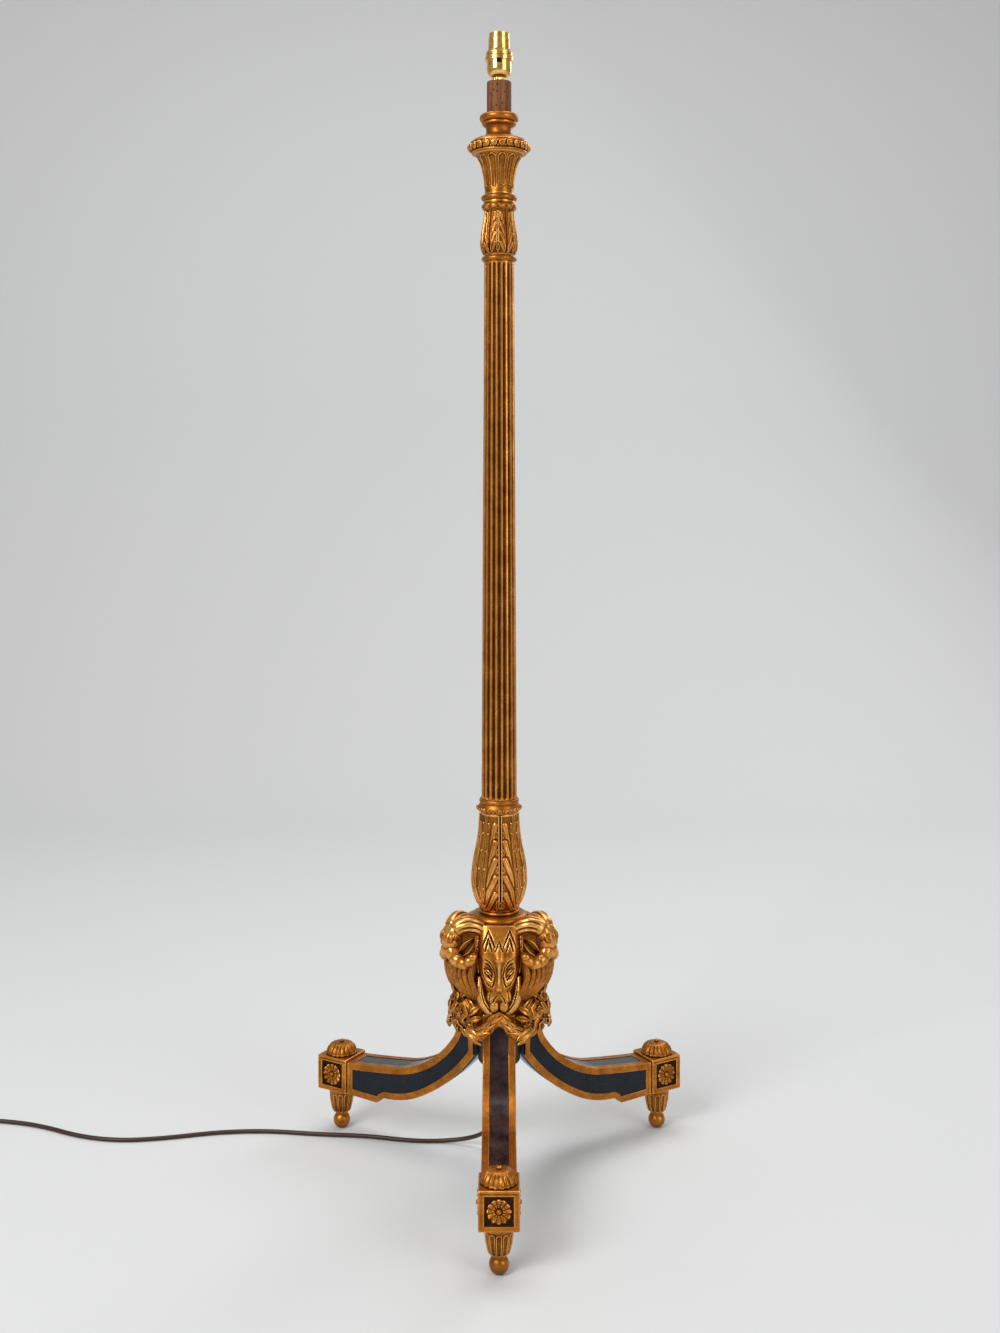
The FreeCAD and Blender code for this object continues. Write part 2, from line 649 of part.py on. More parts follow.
def make_column():
    torus_top = HUB_TOP + BASE_TORUS_H
    base_ring = turned(
        ring_points(0.82 * BASE_TORUS_R, HUB_TOP, BASE_TORUS_R, torus_top, 0.76 * BASE_TORUS_R)
        + ring_points(BALUSTER_FOOT_R + 1, torus_top + 0.6, BASE_BEAD_R, BALUSTER_Z, BALUSTER_FOOT_R),
        TENON_R + FIT_GAP)
    parts["base_ring"] = [base_ring]

    belly_z = BALUSTER_Z + BALUSTER_BELLY_H
    baluster = turned([
        (BALUSTER_FOOT_R, BALUSTER_Z),
        (BALUSTER_BELLY_R, belly_z, BALUSTER_BELLY_R - 3.7, BALUSTER_Z + 0.44 * BALUSTER_BELLY_H),
        (30.6, BALUSTER_Z + 86.0, 35.1, BALUSTER_Z + 64.0),
        (BALUSTER_NECK_R, COLLAR_Z, 27.5, BALUSTER_Z + 108.0),
    ])
    baluster = with_tenon(baluster, HUB_TOP - TENON_H + 1, BALUSTER_Z + 1)
    baluster = baluster.cut(rod(WAY_R, BALUSTER_Z, COLLAR_Z))
    parts["acanthus_baluster"] = [with_socket(baluster, COLLAR_Z - TENON_H, COLLAR_Z)]

    band_low = COLLAR_Z + 2.6
    band_high = COLLAR_Z + 10.8
    collar = turned([
        (BALUSTER_NECK_R + 0.5, COLLAR_Z),
        (BALUSTER_NECK_R + 2.2, band_low),
        (BALUSTER_NECK_R + 1.6, band_high, COLLAR_BAND_R, (band_low + band_high) / 2),
        (COLLAR_TOP_R - 1.2, band_high + 2.4),
        (COLLAR_TOP_R - 1.4, COLUMN_Z, COLLAR_TOP_R, COLUMN_Z - 2.6),
    ], TENON_R + FIT_GAP)
    parts["column_collar"] = [collar]
    parts["fluted_column"] = [make_fluted_column()]

    knop_ring = turned(
        [(COLUMN_HEAD_R + 1, KNOP_RING_Z)]
        + ring_points(COLUMN_HEAD_R + 1, KNOP_RING_Z + 1.0, KNOP_RING_R, KNOP_Z - 1.4, KNOP_WAIST_R + 0.6)
        + [(KNOP_WAIST_R, KNOP_Z)],
        TENON_R + FIT_GAP)
    parts["knop_ring"] = [knop_ring]

    lip_z = KNOP_Z + 65.5
    neck_z = UPPER_RING_Z - 3.3
    knop = turned([
        (KNOP_WAIST_R, KNOP_Z),
        (KNOP_BELLY_R, KNOP_Z + 16.0, KNOP_BELLY_R - 2.1, KNOP_Z + 6.4),
        (22.4, KNOP_Z + 43.3, 24.9, KNOP_Z + 27.0),
        (KNOP_WAIST_R, KNOP_Z + 62.3, 21.0, KNOP_Z + 53.0),
        (KNOP_LIP_R, lip_z),
        (KNOP_NECK_R, neck_z, KNOP_LIP_R, lip_z + 4.0),
        (KNOP_NECK_R, UPPER_RING_Z),
    ], WAY_R)
    knop = with_socket(knop, KNOP_Z, KNOP_Z + TENON_H)
    parts["acanthus_knop"] = [with_socket(knop, UPPER_RING_Z - TENON_H, UPPER_RING_Z)]

    upper_ring = turned(
        [(KNOP_NECK_R, UPPER_RING_Z)]
        + ring_points(KNOP_NECK_R, UPPER_RING_Z + 0.8, UPPER_RING_R, CUP_Z - 0.8, CUP_NECK_R + 1)
        + [(CUP_NECK_R + 0.6, CUP_Z)],
        TENON_R + FIT_GAP)
    parts["upper_ring"] = [upper_ring]

    cup = turned([
        (CUP_NECK_R, CUP_Z),
        (CUP_NECK_R, CUP_Z + 7.3),
        (CUP_NECK_R + 3.0, CUP_Z + 32.7, CUP_NECK_R + 0.6, CUP_Z + 20.0),
        (CUP_LIP_R, CAPITAL_Z, CUP_NECK_R + 7.6, CUP_Z + 47.0),
    ])
    cup = with_tenon(cup, UPPER_RING_Z - TENON_H + 1, CUP_Z + 1)
    cup = cup.cut(rod(WAY_R, CUP_Z, CAPITAL_Z))
    parts["fluted_cup"] = [with_socket(cup, CAPITAL_Z - TENON_H, CAPITAL_Z)]
    make_capital()


def make_capital():
    egg_low = CAPITAL_Z + 3.0
    egg_high = CAPITAL_Z + 22.3
    torus_low = SPIGOT_Z - 15.3
    capital = turned([
        (CAPITAL_SEAT_R - 1.2, CAPITAL_Z),
        (CAPITAL_SEAT_R, CAPITAL_Z + 1.4),
        (CAPITAL_SEAT_R, egg_low),
        (CAPITAL_EGG_R, CAPITAL_Z + 9.2, CAPITAL_EGG_R - 1.6, egg_low + 2.2),
        (23.3, egg_high, CAPITAL_EGG_R - 6.0, CAPITAL_Z + 17.6),
        (CAPITAL_WAIST_R, CAPITAL_Z + 32.9, 19.2, CAPITAL_Z + 26.5),
        (23.7, torus_low, 19.6, CAPITAL_Z + 37.6),
        (23.7, torus_low + 0.8),
        (SPIGOT_R + 4.0, SPIGOT_Z, CAPITAL_TORUS_R, (torus_low + SPIGOT_Z) / 2),
    ])
    capital = with_tenon(capital, CAPITAL_Z - TENON_H + 1, CAPITAL_Z + 1)
    capital = capital.cut(rod(WAY_R, CAPITAL_Z, SPIGOT_Z))
    parts["capital"] = [with_socket(capital, SPIGOT_Z - TENON_H, SPIGOT_Z)]

    spigot = rod(SPIGOT_R, SPIGOT_Z, SPIGOT_TOP)
    spigot = with_tenon(spigot, SPIGOT_Z - TENON_H + 1, SPIGOT_Z + 1)
    spigot = spigot.cut(rod(WAY_R, SPIGOT_Z, SPIGOT_TOP))
    parts["top_spigot"] = [spigot.cut(rod(NIPPLE_R, SPIGOT_TOP - NIPPLE_DEPTH, SPIGOT_TOP))]


def fluted_wire(radius, z):
    """A ring of hollows and fillets, with a hollow facing the front."""
    pitch = 2 * math.pi / COLUMN_FLUTES
    half_hollow = pitch * FLUTE_SHARE / 2
    half_fillet = pitch * (1 - FLUTE_SHARE) / 2
    edges = []
    for i in range(COLUMN_FLUTES):
        middle = math.radians(LEG_AZIMUTHS["front"]) + i * pitch

        def rim(distance, angle):
            return Vector(distance * math.cos(angle), distance * math.sin(angle), z)

        hollow = Part.Arc(rim(radius, middle - half_hollow), rim(radius - FLUTE_DEPTH, middle),
                          rim(radius, middle + half_hollow))
        fillet = Part.Arc(rim(radius, middle + half_hollow), rim(radius, middle + half_hollow + half_fillet),
                          rim(radius, middle + half_hollow + 2 * half_fillet))
        edges += [hollow.toShape(), fillet.toShape()]
    return Part.Wire(edges)


def make_fluted_column():
    foot = fluted_wire(COLUMN_FOOT_R, COLUMN_Z)
    head = fluted_wire(COLUMN_HEAD_R, KNOP_RING_Z)
    shaft = Part.makeLoft([foot, head], True, True)
    tenons = rod(TENON_R, COLLAR_Z - TENON_H + 1, COLUMN_Z).fuse(rod(TENON_R, KNOP_RING_Z, KNOP_Z + TENON_H - 1))
    shaft = shaft.fuse(tenons).removeSplitter()
    return shaft.cut(rod(WAY_R, COLLAR_Z - TENON_H, KNOP_Z + TENON_H))


# ---------------------------------------------------------------- lampholder
def make_lampholder():
    lobe_step = 2 * math.pi / NUT_LOBES

    def rim(radius, count):
        return Vector(radius * math.cos(count * lobe_step), radius * math.sin(count * lobe_step), SPIGOT_TOP)

    lobes = [Part.Arc(rim(0.88 * NUT_R, i), rim(NUT_R, i + 0.5), rim(0.88 * NUT_R, i + 1)).toShape()
             for i in range(NUT_LOBES)]
    nut = Part.Face(Part.Wire(lobes)).extrude(Vector(0, 0, NUT_H))
    parts["nipple_nut"] = [nut.cut(rod(NIPPLE_R, SPIGOT_TOP, CAP_Z))]
    nipple_top = CAP_Z + CAP_WALL + 3.0
    nipple = rod(NIPPLE_R, SPIGOT_TOP - NIPPLE_DEPTH, nipple_top)
    parts["entry_nipple"] = [nipple.cut(rod(NIPPLE_R - NIPPLE_WALL, SPIGOT_TOP - NIPPLE_DEPTH, nipple_top))]

    ledge_z = CAP_BODY_Z + 4.2
    cap = turned([
        (CAP_CONE_R - 0.8, CAP_Z),
        (CAP_CONE_R, CAP_Z + 1.0),
        (CAP_BODY_R, CAP_BODY_Z, 0.93 * CAP_BODY_R, CAP_Z + 0.62 * CAP_CONE_H),
        (CAP_BODY_R, FLANGE_Z),
    ])
    hollow = turned([
        (CAP_CONE_R - CAP_WALL, CAP_Z + CAP_WALL),
        (INSULATOR_R - 1.5, CAP_BODY_Z),
        (INSULATOR_R - 1.5, ledge_z),
        (INSULATOR_R + FIT_GAP, ledge_z),
        (INSULATOR_R + FIT_GAP, FLANGE_Z),
    ])
    bar_z = FLANGE_Z - RUN_GAP - BAR_H
    bar_half = BAR_W / 2
    bar_way = block(-bar_half - RUN_GAP, bar_half + RUN_GAP, -3 * CAP_BODY_R, 3 * CAP_BODY_R,
                    bar_z - RUN_GAP, FLANGE_Z)
    cap = cap.cut([hollow, bar_way, rod(NIPPLE_R, CAP_Z, CAP_Z + CAP_WALL)])
    parts["lampholder_cap"] = [cap]

    front = -CAP_BODY_R - BAR_PROUD
    bar = block(-bar_half, bar_half, front, front + BAR_LEN, bar_z, bar_z + BAR_H)
    parts["push_bar"] = [bar.makeFillet(0.6, [e for e in bar.Edges if e.BoundBox.YLength < 1e-6])]

    barrel = turned([
        (FLANGE_R, FLANGE_Z),
        (FLANGE_R, SLEEVE_Z - 0.8),
        (FLANGE_R - 0.8, SLEEVE_Z),
        (SLEEVE_R, SLEEVE_Z),
        (SLEEVE_R, RIM_Z),
        (RIM_R, RIM_Z),
        (RIM_R, SOCKET_TOP),
    ])
    guide_low = SOCKET_TOP - SOCKET_GUIDE
    barrel = barrel.cut([rod(INSULATOR_R + FIT_GAP, FLANGE_Z, INSULATOR_TOP),
                         rod(SOCKET_R + SOCKET_RELIEF, INSULATOR_TOP, guide_low),
                         rod(SOCKET_R, guide_low, SOCKET_TOP)])
    slot_floor = SOCKET_TOP - SLOT_DROP
    down = block(SOCKET_R - 1, RIM_R + 1, -SLOT_W / 2, SLOT_W / 2, slot_floor, SOCKET_TOP)
    foot = block(SOCKET_R - 1, RIM_R + 1, -SLOT_W / 2, SLOT_W / 2 + SLOT_TURN, slot_floor - SLOT_W / 2,
                 slot_floor + SLOT_W / 2)
    slot = down.fuse(foot)
    parts["lampholder_barrel"] = [barrel.cut([slot, placed(slot, 180)])]

    ring = turned([
        (RING_R - 0.6, SLEEVE_Z + RUN_GAP),
        (RING_R, SLEEVE_Z + RUN_GAP + 0.6),
        (RING_R, SLEEVE_Z + RING_H - 0.5),
        (RING_R - 0.5, SLEEVE_Z + RING_H),
        (RING_CONE_R, SLEEVE_Z + RING_H + RING_CONE_H),
    ], SLEEVE_R + RUN_GAP)
    parts["shade_ring"] = [ring]
    make_contacts(ledge_z, bar_way)


def make_contacts(ledge_z, bar_way):
    plunger_base = INSULATOR_TOP - 7.0
    spring_base = plunger_base - SPRING_FREE
    insulator = rod(INSULATOR_R, ledge_z, INSULATOR_TOP).cut(bar_way)
    screw_z = ledge_z + 2.6
    ways = []
    screws = []
    for side in (-1, 1):
        x = side * PLUNGER_OFFSET
        ways.append(rod(PLUNGER_R + RUN_GAP, spring_base, INSULATOR_TOP, x))
        outward = Vector(side, 0, 0)
        foot = Vector(side * (INSULATOR_R - SCREW_LEN - 0.4), 0, screw_z)
        screws.append(Part.makeCylinder(SCREW_R, SCREW_LEN, foot, outward))
        ways.append(Part.makeCylinder(SCREW_R + FIT_GAP, SCREW_LEN + 2, foot, outward))
    parts["insulator"] = [insulator.cut(ways)]
    parts["terminal_screws"] = screws
    for name, side in (("left", -1), ("right", 1)):
        x = side * PLUNGER_OFFSET
        stem = rod(PLUNGER_R, plunger_base, INSULATOR_TOP + PLUNGER_PROUD, x)
        tip = [e for e in stem.Edges if e.BoundBox.ZMin > INSULATOR_TOP]
        parts["contact_plunger_" + name] = [stem.makeFillet(0.8, tip)]
        parts["plunger_spring_" + name] = [make_spring(x, spring_base, plunger_base)]


def make_spring(x, z_low, z_high):
    coil_r = PLUNGER_R - SPRING_WIRE_R
    rise = z_high - z_low - 2 * SPRING_WIRE_R
    steps = 4 * SPRING_TURNS

    def at(step):
        angle = step * math.pi / 2
        z = z_low + SPRING_WIRE_R + rise * step / steps
        return Vector(x + coil_r * math.cos(angle), coil_r * math.sin(angle), z)

    return tube_along(biarc_wire(at, steps), SPRING_WIRE_R)


# ---------------------------------------------------------------- cord and plug
def arc_from_corner(start, corner, end):
    """The arc that leaves start towards corner and reaches end, both as far from corner."""
    middle = (start + end) * 0.5
    cosine = (end - start).Length / (2 * (corner - start).Length)
    if cosine > 1 - 1e-9:
        return Part.LineSegment(start, end).toShape()
    through = middle + (corner - middle) * (cosine / (1 + cosine))
    return Part.Arc(start, through, end).toShape()


def biarc_wire(at, steps, ends=(), lead=0.0):
    """Two tangent arcs for each step of the curve at(step), then a straight lead."""
    edges = []
    reach = 1e-3

    def heading(step):
        if ends and step in (0, steps):
            return ends[0] if step == 0 else ends[1]
        return (at(step + reach) - at(step - reach)).normalize()

    for step in range(steps):
        start, end = at(step), at(step + 1)
        go, come = heading(step), heading(step + 1)
        across = end - start
        both = go + come
        share = 2 * (1 - go.dot(come))
        along = across.dot(both)
        leg = (math.sqrt(along ** 2 + share * across.dot(across)) - along) / share
        join = (start + end + (go - come) * leg) * 0.5
        edges.append(arc_from_corner(start, start + go * leg, join))
        edges.append(arc_from_corner(join, end - come * leg, end))
    if lead:
        last = at(steps)
        edges.append(Part.LineSegment(last, last + heading(steps) * lead).toShape())
    return Part.Wire(edges)


def routed_wire(points):
    """Straight runs joined by tangent arcs, each as large as its two runs allow."""
    corners = [Vector(*p) for p in points]
    edges = []
    radii = []
    last = corners[0]
    for before, corner, after in zip(corners, corners[1:], corners[2:]):
        back = before - corner
        on = after - corner
        turn = math.pi - back.getAngle(on)
        cut = 0.45 * min(back.Length, on.Length)
        radii.append(cut / math.tan(turn / 2))
        start = corner + back.normalize() * cut
        end = corner + on.normalize() * cut
        edges.append(Part.LineSegment(last, start).toShape())
        edges.append(arc_from_corner(start, corner, end))
        last = end
    edges.append(Part.LineSegment(last, corners[-1]).toShape())
    print("cord route radii, mm:", " ".join("%.0f" % r for r in radii))
    return Part.Wire(edges)


def coil_point(step):
    """The put-away coil, a quarter turn a step: in on the lower layer, out on the upper."""
    turns = step / 4
    half = COIL_TURNS / 2
    blend = 0.25
    gap = abs(turns - half)
    inward = half - (gap if gap > blend else (gap * gap / blend + blend) / 2)
    radius = COIL_START_R - COIL_PITCH * inward
    climb = min(max((turns - half + 0.25) / 0.5, 0.0), 1.0)
    climb = climb * climb * (3 - 2 * climb)
    angle = math.pi / 2 + turns * 2 * math.pi
    return Vector(COIL_CENTRE[0] + radius * math.cos(angle), COIL_CENTRE[1] + radius * math.sin(angle),
                  FLEX_R + COIL_PITCH * climb)


def least_gap(path, radius):
    """Nearest that a wound tube comes to itself, on points half a radius apart."""
    spots = path.discretize(Distance=radius / 2)
    skip = int(2 * math.pi * radius / (radius / 2))
    best = 1e9
    for i, spot in enumerate(spots):
        for other in spots[i + skip:]:
            best = min(best, spot.distanceToPoint(other))
    return best - 2 * radius


def compare_volume(name, solid, path, radius):
    ideal = math.pi * radius ** 2 * path.Length
    print("%s: length %.1f mm, volume %.0f mm3, section times length %.0f mm3"
          % (name, path.Length, solid.Volume, ideal))


def make_cord():
    bush = turned([
        (BUSH_END_R, CORD_EXIT_Z),
        (BUSH_TOP_R, BOSS_BOTTOM - 3.0, 0.66 * BUSH_TOP_R, CORD_EXIT_Z + 0.5 * BUSH_LEN),
        (BUSH_TOP_R, BOSS_BOTTOM),
        (WAY_R, BOSS_BOTTOM),
        (WAY_R, BOSS_BOTTOM + BUSH_SPIGOT),
    ], FLEX_R + FIT_GAP)
    parts["cord_bush"] = [bush]
    flex_top = CAP_Z + CAP_WALL + 4.0
    sheath = rod(FLEX_R, CORD_EXIT_Z, flex_top)
    cores = [rod(0.9, flex_top, CAP_BODY_Z + 4.2, side * 1.4) for side in (-1, 1)]
    parts["inner_flex"] = [sheath] + cores

    route = routed_wire(CORD_ROUTE)
    free = tube_along(route, FLEX_R)
    compare_volume("cord_free", free, route, FLEX_R)
    parts["cord_free"] = [free]
    wound = biarc_wire(coil_point, int(4 * COIL_TURNS), (Vector(-1, 0, 0), Vector(0, -1, 0)), COIL_LEAD)
    coil = tube_along(wound, FLEX_R)
    compare_volume("cord_coil", coil, wound, FLEX_R)
    print("cord_coil: least gap to itself %.2f mm" % least_gap(wound, FLEX_R))
    parts["cord_coil"] = [coil]
    spring = parts["plunger_spring_left"][0]
    print("plunger_spring: volume %.2f mm3" % spring.Volume)
    make_plug()


def make_plug():
    entry_x = COIL_CENTRE[0] - COIL_START_R
    entry_y = COIL_CENTRE[1] - COIL_LEAD
    half = PLUG_W / 2
    neck = half - PLUG_CHAMFER
    outline = [
        (neck, 0.0), (half, -PLUG_CHAMFER), (half - 2.0, -PLUG_L), (2.0 - half, -PLUG_L),
        (-half, -PLUG_CHAMFER), (-neck, 0.0),
    ]
    face = closed_face(outline, lambda x, y: Vector(entry_x + x, entry_y + y, 0))
    cover = face.extrude(Vector(0, 0, PLUG_COVER_T))
    long_edges = [e for e in cover.Edges if e.BoundBox.ZLength > 1]
    cover = cover.makeFillet(3.0, long_edges)
    base = face.extrude(Vector(0, 0, PLUG_BASE_T))
    base = base.makeFillet(3.0, [e for e in base.Edges if e.BoundBox.ZLength > 1])
    base.translate(Vector(0, 0, PLUG_COVER_T))
    base_top = PLUG_COVER_T + PLUG_BASE_T
    row_y = entry_y - 0.36 * PLUG_L
    earth_y = row_y - PIN_SPACING
    pins = []
    for side in (-1, 1):
        x = entry_x + side * PIN_SPACING / 2
        pins.append(block(x - PIN_W / 2, x + PIN_W / 2, row_y - PIN_T / 2, row_y + PIN_T / 2,
                          base_top - 5, base_top + PIN_LEN))
    pins.append(block(entry_x - PIN_T / 2, entry_x + PIN_T / 2, earth_y - EARTH_W / 2, earth_y + EARTH_W / 2,
                      base_top - 5, base_top + EARTH_LEN))
    fuse_y = row_y - 0.42 * PIN_SPACING
    fuse = Part.makeCylinder(FUSE_R, FUSE_LEN, Vector(entry_x - FUSE_LEN / 2, fuse_y, PLUG_COVER_T + FUSE_R),
                             Vector(1, 0, 0))
    fuse_way = block(entry_x - FUSE_LEN / 2 - 0.2, entry_x + FUSE_LEN / 2 + 0.2, fuse_y - FUSE_R - 0.2,
                     fuse_y + FUSE_R + 0.2, PLUG_COVER_T, PLUG_COVER_T + 2 * FUSE_R + 0.2)
    parts["plug_cover"] = [cover]
    parts["plug_base"] = [base.cut(pins + [fuse_way])]
    parts["plug_pins"] = pins
    parts["plug_fuse"] = [fuse]


# ---------------------------------------------------------------- build and write
def write_parts():
    os.makedirs("parts", exist_ok=True)
    for name, solids in parts.items():
        shape = solids[0] if len(solids) == 1 else Part.makeCompound(solids)
        good = shape.isValid() and all(s.Volume > 0 for s in shape.Solids)
        print("%-24s %2d solids %10.1f mm3 %s" % (name, len(shape.Solids), shape.Volume, "ok" if good else "BAD"))
        shape.exportStep("parts/%s.step" % name)
    print(len(parts), "nodes")


make_legs(make_feet())
make_carving(make_hub())
make_column()
make_lampholder()
make_cord()
write_parts()
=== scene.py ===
"""Candlestick floor lamp: the carved, gilded and lacquered surfaces over its CAD frame.

Metres in Blender; shapes are worked in millimetres, as the CAD source is. A form is a pair:
points, and faces of four points each, where a triangle names its last point twice. Pieces that
repeat round the lamp are made once, facing +X, and turned to their legs and corners.
"""
import cmath
import json
import math

import bpy
import numpy as np
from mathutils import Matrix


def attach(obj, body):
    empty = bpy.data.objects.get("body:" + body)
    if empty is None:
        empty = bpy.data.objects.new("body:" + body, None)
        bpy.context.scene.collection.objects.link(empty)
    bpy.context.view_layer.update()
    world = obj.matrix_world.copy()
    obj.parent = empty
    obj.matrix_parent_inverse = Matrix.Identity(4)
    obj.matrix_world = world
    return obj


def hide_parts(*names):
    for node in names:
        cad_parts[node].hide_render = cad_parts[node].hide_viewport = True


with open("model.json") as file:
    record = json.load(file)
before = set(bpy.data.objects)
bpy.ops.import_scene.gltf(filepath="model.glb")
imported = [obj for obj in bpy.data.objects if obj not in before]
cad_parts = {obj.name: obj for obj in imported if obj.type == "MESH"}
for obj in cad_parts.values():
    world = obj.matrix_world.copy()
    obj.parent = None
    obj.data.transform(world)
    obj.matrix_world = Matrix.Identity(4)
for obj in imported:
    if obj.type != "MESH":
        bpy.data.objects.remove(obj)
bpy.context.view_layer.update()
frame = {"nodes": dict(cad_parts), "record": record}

MM = 0.001
LEGS = {"front": -90.0, "rear_right": 30.0, "rear_left": 150.0}
CORNERS = {"left": 210.0, "right": -30.0, "back": 90.0}

# levels and radii shared with the CAD source, mm
HUB_TOP = 343.9
BALUSTER_Z = 361.8
COLLAR_Z = 494.8
COLUMN_Z = 514.0
COLUMN_H = 740.5
COLUMN_FOOT_R, COLUMN_HEAD_R = 24.3, 20.5
KNOP_Z = 1263.4
UPPER_RING_Z = 1338.3
CUP_Z = 1347.8
CAPITAL_Z = 1404.0
SPIGOT_Z = 1459.3
SPIGOT_TOP = 1504.1
FOOT_REACH = 268.0
BLOCK_LOW = 61.0
BLOCK_HIGH = 110.0
BLOCK_MID = (BLOCK_LOW + BLOCK_HIGH) / 2
BLOCK_HALF = 25.0


# ---------------------------------------------------------------- colours, nodes, materials
def linear(code):
    """An sRGB hex colour as Blender's linear one."""
    levels = [int(code[i:i + 2], 16) / 255 for i in (0, 2, 4)]
    return tuple(v / 12.92 if v <= 0.04045 else ((v + 0.055) / 1.055) ** 2.4 for v in levels) + (1.0,)


def node(tree, kind, settings=None, inputs=None):
    """One node with its settings and its inputs, each a value or the socket to link."""
    made = tree.nodes.new("ShaderNode" + kind)
    for name, value in (settings or {}).items():
        if name == "ramp":
            stops = made.color_ramp.elements
            while len(stops) < len(value):
                stops.new(0.5)
            for stop, (place, colour) in zip(stops, value):
                stop.position = place
                stop.color = linear(colour) if isinstance(colour, str) else (colour,) * 3 + (1.0,)
        else:
            setattr(made, name, value)
    for name, value in (inputs or {}).items():
        if isinstance(value, bpy.types.NodeSocket):
            tree.links.new(value, made.inputs[name])
        else:
            made.inputs[name].default_value = linear(value) if isinstance(value, str) else value
    return made


def material(name, surface=None):
    """A material with its Principled shader's own sockets set, and the shader to link to."""
    made = bpy.data.materials.new(name)
    made.use_nodes = True
    shader = made.node_tree.nodes["Principled BSDF"]
    for socket, value in (surface or {}).items():
        shader.inputs[socket].default_value = linear(value) if isinstance(value, str) else value
    return made, made.node_tree, shader


def noise(tree, vector, size_mm, detail, **others):
    """Noise with features of a real size."""
    inputs = {"Vector": vector, "Scale": 1.0 / (size_mm * MM), "Detail": detail, **others}
    return node(tree, "TexNoise", None, inputs).outputs["Fac"]


def fitted(tree, value, low, high, to_low=0.0, to_high=1.0):
    """A value carried from one range to another."""
    return node(tree, "MapRange", None, {"Value": value, "From Min": low, "From Max": high,
                                         "To Min": to_low, "To Max": to_high}).outputs[0]


def toned(tree, value, stops):
    """A colour for each level of a value."""
    return node(tree, "ValToRGB", {"ramp": stops}, {"Fac": value}).outputs["Color"]


def blended(tree, share, colour, other):
    """One colour giving way to another."""
    return node(tree, "Mix", {"data_type": "RGBA"}, {0: share, 6: colour, 7: other}).outputs[2]


def place_on(tree, scale=None):
    """Where a point is on its piece, in metres; a scale draws the pattern out along an axis."""
    place = node(tree, "TexCoord").outputs["Object"]
    return node(tree, "Mapping", None, {"Vector": place, "Scale": scale}).outputs[0] if scale else place


def proud_of(tree):
    """How far the carving stands out there: -1 in a cut, +1 on an edge."""
    return node(tree, "Attribute", {"attribute_name": "proud"}).outputs["Fac"]


def finish(tree, shader, colour, rough, height, strength, depth_mm):
    """Links the colour, the roughness and a bump of some mm to the shader."""
    bump = node(tree, "Bump", None, {"Height": height, "Strength": strength, "Distance": depth_mm * MM})
    for name, socket in (("Base Color", colour), ("Roughness", rough), ("Normal", bump.outputs[0])):
        if socket is not None:
            tree.links.new(socket, shader.inputs[name])


def gilt(name, stops):
    """Bronze powder gilding on gesso over carved wood: rubbed bright on what stands proud,
    brown size and old wax left in the cuts; the same dark cuts and bright edges are also
    painted shade and painted highlight, and crevices are darkened by painted occlusion shade."""
    made, tree, shader = material(name, {"Metallic": 0.86})
    place = place_on(tree)
    # the carving's proudness sets the tone, varied in patches and in specks: darker in cuts and brighter on
    # edges, partly real wear and partly painted shade and highlight
    wear_and_painted_shade = fitted(tree, proud_of(tree), -1.0, 1.0)
    for size_mm, detail, rough, swing in ((22, 4.0, 0.6, 0.10), (2.2, 3.0, 0.5, 0.07)):
        uneven = fitted(tree, noise(tree, place, size_mm, detail, Roughness=rough), 0.3, 0.7, -swing, swing)
        wear_and_painted_shade = node(tree, "Math", {"operation": "ADD"}, {0: wear_and_painted_shade, 1: uneven}).outputs[0]
    # ambient occlusion darkens the colour in crevices and between pieces: painted shade
    painted_occlusion_shade = node(tree, "AmbientOcclusion", {"samples": 6}, {"Distance": 9 * MM}).outputs["AO"]
    colour = blended(tree, fitted(tree, painted_occlusion_shade, 0.25, 0.8, 0.6, 0.0), toned(tree, wear_and_painted_shade, stops), stops[0][1])
    rough = fitted(tree, wear_and_painted_shade, 0.2, 0.8, 0.52, 0.26)
    finish(tree, shader, colour, rough, noise(tree, place, 5, 5.0, Roughness=0.55), 0.35, 0.35)
    return made


def lacquer(name, colour, wear):
    """Ebonised lacquer, brushed and rubbed: deep gloss with faint brush drag and dusty wear."""
    made, tree, shader = material(name, {"Roughness": 0.16, "Specular IOR Level": 0.24})
    place = place_on(tree)
    cloud = noise(tree, place, 28, 6.0, Roughness=0.65)
    finish(tree, shader, toned(tree, cloud, [(0.38, colour), (0.72, wear)]),
           fitted(tree, cloud, 0.35, 0.75, 0.12, 0.34), noise(tree, place, 7, 3.0), 0.2, 0.3)
    return made


def wood(name, dark, light, ring_mm, gloss):
    """Turned wood: long grain up the piece, with pores, and its pricked holes painted near black as shade."""
    made, tree, shader = material(name, {"Roughness": gloss, "Specular IOR Level": 0.3})
    grain = place_on(tree, (1.0, 1.0, 0.07))
    figure = noise(tree, grain, ring_mm, 6.0, Roughness=0.62, Distortion=0.4)
    # points below the surface, the pin holes, are painted near black: painted shade in shallow dents
    colour = blended(tree, fitted(tree, proud_of(tree), -0.5, -0.12, 1.0, 0.0),
                     toned(tree, figure, [(0.32, dark), (0.68, light)]), "120805")
    finish(tree, shader, colour, None, noise(tree, grain, 0.9, 2.0), 0.3, 0.25)
    return made


def brass(name, colour, old, rough):
    """Spun and polished brass: tight bright highlights, lathe lines and a little tarnish."""
    made, tree, shader = material(name, {"Metallic": 1.0, "Roughness": rough})
    lathe_lines = noise(tree, place_on(tree, (0.04, 0.04, 1.0)), 0.5, 2.0)
    tarnish = noise(tree, place_on(tree), 6, 4.0)
    finish(tree, shader, toned(tree, tarnish, [(0.35, old), (0.6, colour)]), None, lathe_lines, 0.12, 0.1)
    return made


def moulded(name, colour, rough, grit_mm, depth_mm):
    """A moulded skin: one colour all through, its gloss broken by the mould's fine texture."""
    made, tree, shader = material(name, {"Base Color": colour, "Roughness": rough})
    skin = noise(tree, place_on(tree), grit_mm, 3.0)
    finish(tree, shader, None, fitted(tree, skin, 0.3, 0.7, rough - 0.05, rough + 0.07), skin, 0.25, depth_mm)
    return made
